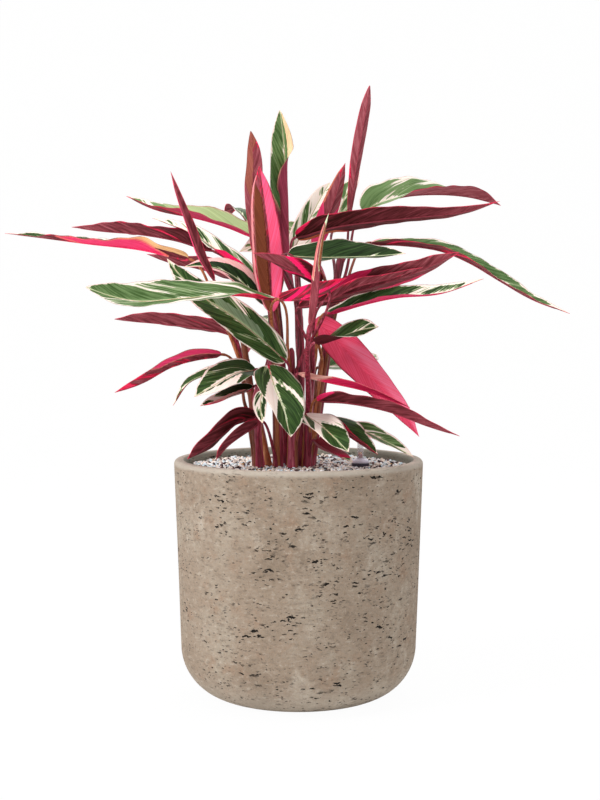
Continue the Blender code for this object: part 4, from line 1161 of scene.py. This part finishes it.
leaf("leaf_07_front_left_long", "stem_5_front", height=43, width=5.8,
     face=(0, -0.25, 1), tip_face=(0, -0.75, 0.7), fold=22, widest=0.52,
     points=((-2.7, -6.5, 51.2), (-7.6, -9, 52.1), (-13.2, -11, 51.8),
             (-18.8, -12.5, 51.3), (-22.4, -13.5, 51.8), (-25.3, -14, 52.6)),
     cream=0.24, pink=0.6, fresh=0.15)
leaf("leaf_08_left_broad", "stem_5_front", height=38.5, width=4.5,
     face=(-0.3, -0.75, 0.6), fold=15,
     points=((-1.6, -4.5, 43.4), (-4.1, -5.5, 45.8), (-7.9, -6, 48.9),
             (-11.8, -6, 51.5), (-14.6, -5.5, 54), (-16.4, -5, 56.2)),
     cream=0.2, pink=0.3, fresh=0.02, stalk="maroon",
     tints=(("over", 0.16, 0.56, 0.12, 0.5, "#5f7356"), ("over", 0.0, 1, -0.06, 0.04, "#a9c08c")))
leaf("leaf_09_left_dark", "stem_1_left", height=38, width=4.6,
     face=(0, -0.5, 0.85),
     points=((-4.2, -1.4, 50.6), (-6.6, -2.2, 53.2), (-9.4, -2.6, 55),
             (-12.3, -2.5, 55.5), (-14.5, -2, 55.2)),
     cream=0.2, pink=0.3, fresh=-0.14, stalk="rose", girth=1.6,
     tints=(("over", 0.0, 0.9, 0.6, 1, "#ee9f9c"), ("over", 0.3, 0.98, -1, -0.4, "#ea9a9a"),
            ("over", 0.1, 0.3, -1, -0.7, "#ea9a9a")))
leaf("leaf_10_left_maroon", "stem_4_middle_back", height=45.5, width=4.2,
     face=(0, 0.5, 0.85),
     points=((-5, 1.8, 52.2), (-8.1, 2.6, 54.1), (-12.2, 3.4, 55.3), (-16.4, 4.4, 56), (-19.9, 5.4, 57)),
     cream=0.2, pink=0.1, stalk="maroon")
leaf("leaf_11_left_low_maroon", "stem_4_middle_back", height=38, width=4.6,
     face=(0, 0.5, 0.9), widest=0.45,
     points=((-4.8, 3.6, 44.5), (-9.1, 6.3, 46.8), (-14.4, 8, 47.8), (-19.8, 9.5, 48.2), (-24.9, 11, 48.4)),
     cream=0.25, pink=0.12, deep=0.03, stalk="brown")
leaf("leaf_12_left_curved", "stem_2_left_back", height=39, width=3.2,
     face=(-0.1, 0.5, 0.85), tip_face=(-0.5, 0.5, 0.6), fold=25,
     points=((-9.8, -4, 44.2), (-12.6, -6, 44), (-15.8, -8, 43.1), (-19, -10, 41.2), (-22.2, -12, 39.9)),
     cream=0.35, pink=0.4,
     tints=(("over", 0.0, 0.15, -1, 1, "#6f8f5a"), ("under", 0.0, 0.5, -1, -0.4, "#e0345f")))
leaf("leaf_13_front_left_green", "stem_1_left", height=38.5, width=5.3,
     face=(-0.3, -0.85, 0.65), fold=15,
     points=((-5.3, -5, 42.4), (-7.7, -7.5, 42.3), (-10.4, -10.5, 40.8), (-12.6, -12, 39.4)),
     cream=0.14, pink=0.3, fresh=-0.02, stalk="rose",
     bands=(("over", 0.1, 1, -1, -0.3, 0.26), ("over", 0.2, 0.85, -0.12, 0.08, 0.2)))
leaf("leaf_14_left_grey", "stem_1_left", height=37.2, width=2.4,
     face=(-0.3, -0.35, 0.9), tip_face=(-0.8, -0.3, 0.4),
     points=((-7.9, -3, 42.9), (-10.8, -3, 42.1), (-14, -3, 40.7), (-15.9, -3, 37.7)),
     cream=0.24, pink=0.3, fresh=0.04, stalk="brown")
leaf("leaf_15_front_left_low", "stem_1_left", height=36.5, width=3.2,
     face=(-0.2, -0.4, 0.9), fold=25,
     points=((-5.5, -7, 40.4), (-8.1, -9, 39.7), (-9.9, -10.5, 38.9), (-11.9, -12, 38.3)),
     pink=0.4, fresh=-0.08, stalk="rose",
     tints=(("over", 0.1, 0.85, -0.1, 0.25, "#f2a9a0"),))
leaf("leaf_16_front_middle", "stem_5_front", height=35.5, width=6.3,
     face=(0.05, -0.6, 0.8), tip_face=(0.75, -0.9, 0.14), widest=0.46,
     points=((-3.75, -5.6, 42.9), (-2.75, -9.4, 40.7), (-1.55, -12.4, 38.1), (-0.95, -14, 34.7)),
     cream=0.16, pink=0.3, stalk="rose", wave=0.5,
     bands=(("over", 0.16, 0.48, 0.02, 1, 0.34), ("over", 0.1, 0.24, -1, 0.0, 0.2)),
     tints=(("over", 0.0, 0.9, -0.07, 0.05, "#c9d6a8"),))
leaf("leaf_17_front_left_small", "stem_5_front", height=34.5, width=1.9,
     face=(-0.4, -0.9, 0.3), fold=15,
     points=((-4.4, -9.2, 40), (-4.7, -9.6, 38.3), (-4.4, -10, 36)),
     cream=0.34, pink=0.4, fresh=-0.1, stalk="rose")
leaf("leaf_18_rim_left_dark", "stem_1_left", height=33.5, width=4.4,
     face=(-0.3, 0.5, 0.8), tip_face=(-0.5, 0.6, 0.6),
     points=((-5.4, -3.5, 36.5), (-7.8, -4.5, 36), (-10.7, -5.5, 33.6), (-13.9, -6, 31.2)),
     cream=0.2, pink=0.05, deep=0.16, stalk="maroon")
leaf("leaf_19_rim_left_narrow", "stem_3_middle", height=31, width=2.9,
     face=(-0.3, 0.5, 0.8), fold=30,
     points=((-5.1, -5, 35.8), (-7.2, -6.5, 34.6), (-9, -7.5, 33.1), (-10.2, -8, 31.3)),
     pink=0.15, deep=0.02, stalk="maroon")
leaf("leaf_20_upright_left", "stem_4_middle_back", height=51.5, width=2.6,
     face=(0.3, 0.95, 0), widest=0.55,
     points=((-5.5, 1.5, 55.8), (-5.6, 1, 60), (-5.8, 0.5, 65), (-5.7, 0.5, 69), (-6.1, 0.5, 72.5)),
     cream=0.2, pink=0.1, deep=-0.1, stalk="maroon",
     tints=(("under", 0.45, 1, 0.0, 1, "#7b4036"), ("under", 0.85, 1, -1, 0, "#7b4036")))
leaf("leaf_21_upright_salmon", "stem_3_middle", height=47, width=4.2,
     face=(0.2, 1, 0.1), fold=15, widest=0.42,
     points=((-3.4, -2.9, 49.5), (-3.8, -2.8, 54), (-4.1, -3.2, 58.9),
             (-4.6, -3.6, 63.8), (-4.9, -4, 67.7)),
     cream=0.4, pink=0.4, stalk="brown",
     tints=(("under", 0.0, 0.8, -0.1, 0.75, "#5c2c1b"),
            ("under", 0.0, 0.95, -0.95, -0.2, "#ff5075"), ("under", 0.0, 0.9, 0.8, 1, "#f58a90")))
leaf("leaf_22_upright_tall", "stem_6_back", height=43.5, width=4.4,
     face=(-0.2, -1, 0), fold=30, widest=0.56,
     points=((-0.5, 4.1, 51), (-1.35, 3.7, 57.2), (-1.6, 2.8, 64.5), (-2, 2.4, 71.3), (-2.4, 2, 75.3)),
     cream=0.08, pink=0.0, fresh=0.16, deep=-0.05, stalk="maroon",
     right=((0, 165), (0.57, 165), (0.69, 95), (0.8, 10)),
     tints=(("over", 0.5, 0.97, 0.35, 1, "#e8b98c"), ("over", 0.0, 0.4, -1, 0, "#7e2c40"),
            ("under", 0.0, 0.75, -1, 1, "#8e3549")))
leaf("leaf_23_tallest", "stem_8_right_back", height=56, width=1.9,
     face=(-0.3, 0.9, 0.1), fold=30, widest=0.62,
     points=((6.5, 4, 60.7), (6.8, 4, 63.7), (7.3, 4, 67.8), (8, 4, 71.9), (8.7, 4, 75.8), (9.2, 4, 78.7)),
     cream=0.15, pink=0.0, deep=-0.1, stalk="wine")
leaf("leaf_24_upright_right", "stem_8_right_back", height=52, width=2.8,
     face=(-0.3, 0.95, 0.1), fold=25,
     points=((2.2, 3, 57.6), (3.2, 3, 60.6), (4.4, 2.5, 63.6), (5.3, 2, 66.4), (6, 2, 68.6)),
     cream=0.4, deep=-0.1, stalk="brown",
     tints=(("under", 0.0, 0.3, -1, 1, "#d0305a"), ("under", 0.3, 0.95, 0.8, 1, "#b06a4a"),))
leaf("leaf_25_back_cream", "stem_4_middle_back", height=51, width=3.5,
     face=(0.3, -0.9, 0.4), fold=15, widest=0.42,
     points=((-1.2, 6.4, 56.6), (0.9, 7.8, 60.6), (2.8, 9.8, 64.3), (4.2, 12, 66.8)),
     cream=0.66, fresh=0.12, stalk="wine")
leaf("leaf_26_back_right", "stem_8_right_back", height=54, width=3,
     face=(-0.2, -0.9, 0.4), fold=15,
     points=((4.4, 8, 59.8), (5.5, 11, 63.1), (6.8, 14, 66.1), (8.4, 17, 68.5)),
     cream=0.52, pink=0.3, fresh=0.1, stalk="wine")
leaf("leaf_27_right_long_maroon", "stem_6_back", height=53, width=4.2,
     face=(0, 0.6, 0.8), widest=0.25,
     points=((-0.3, -0.5, 59), (4, -1, 60.4), (8.9, -2, 61.1),
             (14.8, -3, 61.6), (20.6, -4, 62.1), (25, -5, 63.3)),
     pink=0.05, deep=0.15, stalk="rose",
     tints=(("under", 0.0, -0.035, -0.5, 1, "#ff2050"), ("under", 0.0, 0.1, -1, -0.55, "#9a4a26")))
leaf("leaf_28_upper_right", "stem_8_right_back", height=52.5, width=6.2,
     face=(-0.35, -1.1, 0.8), tip_face=(0, 0.45, 0.9), fold=33,
     points=((8.4, 5, 62.7), (10.8, 6.5, 64.4), (14.6, 8.5, 65.6),
             (19, 11, 65.9), (23.4, 12.5, 65.3), (27.5, 13.5, 63.8)),
     cream=0.26, pink=0.1, fresh=0.24, deep=-0.12, stalk="maroon",
     bands=(("over", 0.1, 0.22, -1, 0, 0.06),))
leaf("leaf_29_right_drooping", "stem_8_right_back", height=51, width=3.6,
     face=(0.2, -0.2, 0.95), tip_face=(0.3, -0.4, 0.9), fold=30,
     points=((9.2, 2, 58.4), (13.1, 1, 58.5), (17.9, -1, 57.8),
             (21.7, -3, 56.1), (25.3, -5, 53.7), (28.9, -7.5, 51.3), (33, -10, 49.4)),
     pink=0.3, fresh=0.12, stalk="brown",
     tints=(("over", 0.0, -0.02, -1, 1, "#d8325c"),))
leaf("leaf_30_front_right_dark", "stem_6_back", height=50, width=5.2,
     face=(0, -0.55, 0.83), fold=25,
     points=((-1.3, -6.8, 56.7), (1.9, -7.7, 56.7), (5.7, -8.6, 56.7), (10, -9.5, 56.7), (13, -10, 56.7)),
     cream=0.14, pink=0.3, fresh=-0.1, stalk="wine")
leaf("leaf_31_front_spear", "stem_7_right", height=36, width=2.2,
     face=(-0.3, 0.9, 0), fold=60,
     points=((1.4, -12.2, 47.9), (2, -13.9, 51), (2.3, -13.9, 54.8),
             (2.8, -13.3, 58.3), (3.6, -12.6, 61.4)),
     cream=0.4, pink=0.1, deep=-0.04, stalk="maroon", girth=1.9,
     tints=(("under", 0.88, 1, -1, 1, "#b9c8a0"), ("under", 0.3, 0.85, 0.62, 1, "#c9585c"),
            ("under", 0.5, 0.9, -0.9, 0.3, "#744029"), ("over", 0.0, 1, -1, 1, "#8e4450")))
# leaf_32: the near-black maroon at the very base of its underside is painted shade.
leaf("leaf_32_front_crossing", "stem_5_front", height=41.5, width=3.7,
     face=(0, 0.55, 0.8), widest=0.27,
     points=((2.8, -9.8, 53.2), (0.2, -9.8, 54.6), (-2.7, -9.4, 55.8), (-5.6, -9, 56.8)),
     pink=0.05, stalk="maroon",
     tints=(("under", 0.08, 0.24, -1, 1, "#ff1c58"), ("under", 0.0, 0.08, -1, 1, "#3a0d12")))
leaf("leaf_33_front_short", "stem_3_middle", height=44, width=3.2,
     face=(0, 0.6, 0.8),
     points=((-2.3, -9, 51.2), (0.5, -11, 51.5), (3.2, -12, 52.5), (5.8, -12, 53.7)),
     pink=0.45,
     tints=(("under", 0.1, 0.22, -1, 1, "#ff1c58"), ("under", 0.35, 0.9, -0.35, 0.2, "#f0265c")))
# leaf_34: the lighter crimson strip along one edge of its underside is a painted highlight.
leaf("leaf_34_right_maroon_pink", "stem_7_right", height=45, width=5,
     face=(-0.1, 0.65, 0.8), widest=0.4,
     points=((0.1, -3.5, 50.1), (4.2, -4.6, 51.6), (9, -6.8, 53), (14.6, -9.5, 54.8), (19.3, -12, 56.8)),
     deep=0.06, stalk="maroon",
     tints=(("under", 0.05, 0.6, -1, -0.7, "#c22f50"), ("under", 0.1, 0.3, 0.3, 1, "#ff2a5c")))
leaf("leaf_35_right_thin_maroon", "stem_7_right", height=41, width=2.2,
     face=(0, 0.4, 0.9), fold=25,
     points=((3.3, -7.2, 50.9), (6.7, -8.5, 52.8), (11, -9.5, 53.8), (15, -10.5, 55)),
     cream=0.4, pink=0.15, stalk="maroon",
     tints=(("under", 0.1, 0.9, -1, -0.6, "#f3d9cf"),))
leaf("leaf_36_right_green_long", "stem_7_right", height=43, width=3.3,
     face=(0.25, -0.65, 0.9), fold=35,
     points=((3.4, -5, 49.4), (7.7, -7.5, 50.9), (11.9, -10, 51.8), (16.9, -12, 52.1), (22, -14, 53.6)),
     pink=0.6, fresh=-0.02, bands=(("over", 0.5, 0.85, -1, 1, 0.05),),
     tints=(("under", 0.0, 0.8, -1, 1, "#c42750"),))
leaf("leaf_37_right_hanging", "stem_8_right_back", height=43, width=4.4,
     face=(0.2, 0.95, 0.2), fold=10, widest=0.3,
     points=((2, -2, 48.5), (4.5, -2.5, 46.2), (7.4, -3, 43.2),
             (10.6, -3, 39.7), (13.2, -3, 36.8), (15.3, -3, 33.7)),
     pink=0.6,
     tints=(("under", 0.0, 1, -1, 1, "#ee4564"), ("under", 0.15, 1, 0.3, 1, "#fb6280")))
leaf("leaf_38_right_small_twist", "stem_7_right", height=38.5, width=4.8,
     face=(0, 0.2, 0.9), tip_face=(0, -0.9, 0.5), widest=0.32,
     points=((2.1, -6, 45.8), (4.6, -7, 46.7), (7.3, -8, 47.5), (9.8, -9, 47.8)),
     cream=0.22, pink=0.4, deep=0.05, stalk="rose",
     tints=(("under", 0.0, 1, -1, 1, "#4d1a20"),))
leaf("leaf_39_right_thin_crimson", "stem_5_front", height=37, width=2.2,
     face=(0, 0.4, 0.9), fold=25,
     points=((0.1, -4.3, 41.8), (3.8, -6.4, 41.1), (8.6, -8.5, 40), (13.6, -10.5, 38)),
     cream=0.5, pink=0.5, stalk="rose",
     tints=(("under", 0.0, 0.2, -1, 1, "#e8a093"), ("under", 0.2, 1, -1, 1, "#c81f48")))
leaf("leaf_40_right_low_maroon", "stem_7_right", height=34, width=4.1,
     face=(0.1, 0.45, 0.9),
     points=((2.4, -5, 38.6), (6.2, -8, 38.7), (10.9, -11, 37.9), (15.4, -13, 36.2), (19.2, -15, 34.9)),
     pink=0.1, deep=0.1,
     tints=(("under", 0.0, 0.01, -1, 1, "#e8285a"), ("under", 0.1, 0.5, -1, -0.75, "#f3a9a0")))
leaf("leaf_41_front_right_cream", "stem_5_front", height=33, width=4.7,
     face=(0.3, -0.85, 0.6), fold=15, widest=0.44,
     points=((0.8, -5, 36.8), (2.5, -8.5, 36.1), (4.2, -12, 34.8), (6, -14, 32.9)),
     pink=0.3, stalk="brown",
     bands=(("over", 0.0, 0.3, -1, 0, 0.25), ("over", 0.25, 0.4, 0, 1, 0.12)))
leaf("leaf_42_front_right_low", "stem_7_right", height=32.5, width=4.6,
     face=(0.35, -0.15, 0.9), fold=36,
     points=((3.9, -4.5, 36.4), (6, -7, 35.2), (8, -9, 33.7), (9.7, -10, 32.2)),
     cream=0.24, pink=0.3, fresh=-0.02)
leaf("leaf_43_rim_right_striped", "stem_8_right_back", height=32.5, width=3.2,
     face=(0.3, -0.5, 0.8),
     points=((6.4, -2.5, 35.3), (8.8, -3.5, 34.5), (11.5, -4.5, 33.2), (14.4, -5, 31.4)),
     cream=0.34, pink=0.3, fresh=0.12, stalk="rose",
     tints=(("over", 0.0, 0.12, 0.5, 1, "#f2a09c"),))
leaf("leaf_44_low_right_bit", "stem_7_right", height=31, width=2.8,
     face=(0.3, -0.4, 0.85),
     points=((2, -3, 33.3), (3.6, -4, 32.4), (5.4, -5, 31.5), (6.8, -6, 30.8)),
     pink=0.3, deep=0.06, stalk="wine",
     tints=(("over", 0.0, 0.55, -1, 1, "#74252f"), ("over", 0.5, 0.7, -1, 1, "#b02040")))
leaf("leaf_45_back_right_low", "stem_8_right_back", height=38, width=4.4,
     face=(0, -0.7, 0.7), fold=15, widest=0.5,
     points=((2.6, 3, 42.3), (5.5, 6, 42.7), (8.2, 10, 43.2), (10.7, 14, 43.5)),
     pink=0.3, fresh=0.12, stalk="brown")
leaf("leaf_46_back_low", "stem_4_middle_back", height=42, width=3.8,
     face=(0, 0.3, 1), tip_face=(0, 0.8, 0.7),
     points=((-3.0, 5.5, 46.3), (-4.8, 12, 49), (-6.3, 19, 47.6), (-7.5, 25, 43)),
     cream=0.35, fresh=0.02, stalk="maroon")
leaf("leaf_47_back_middle", "stem_8_right_back", height=50, width=4.4,
     face=(0.1, -0.9, 0.45), tip_face=(0.1, -0.8, 0.6), fold=12, widest=0.34,
     points=((1.6, 9.4, 57.2), (-1.0, 10, 59.6), (-3.4, 10.6, 59.7), (-5.6, 11.2, 58.6), (-8, 11.8, 57.5)),
     cream=0.44, pink=0.3, fresh=0.2, stalk="rose")

# ---------------------------------------------------------------- sizes
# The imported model's box and the box of the pieces above, for comparing the two.
sizes = {"cad": cad_box, "visual": [list(corner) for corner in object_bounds()]}
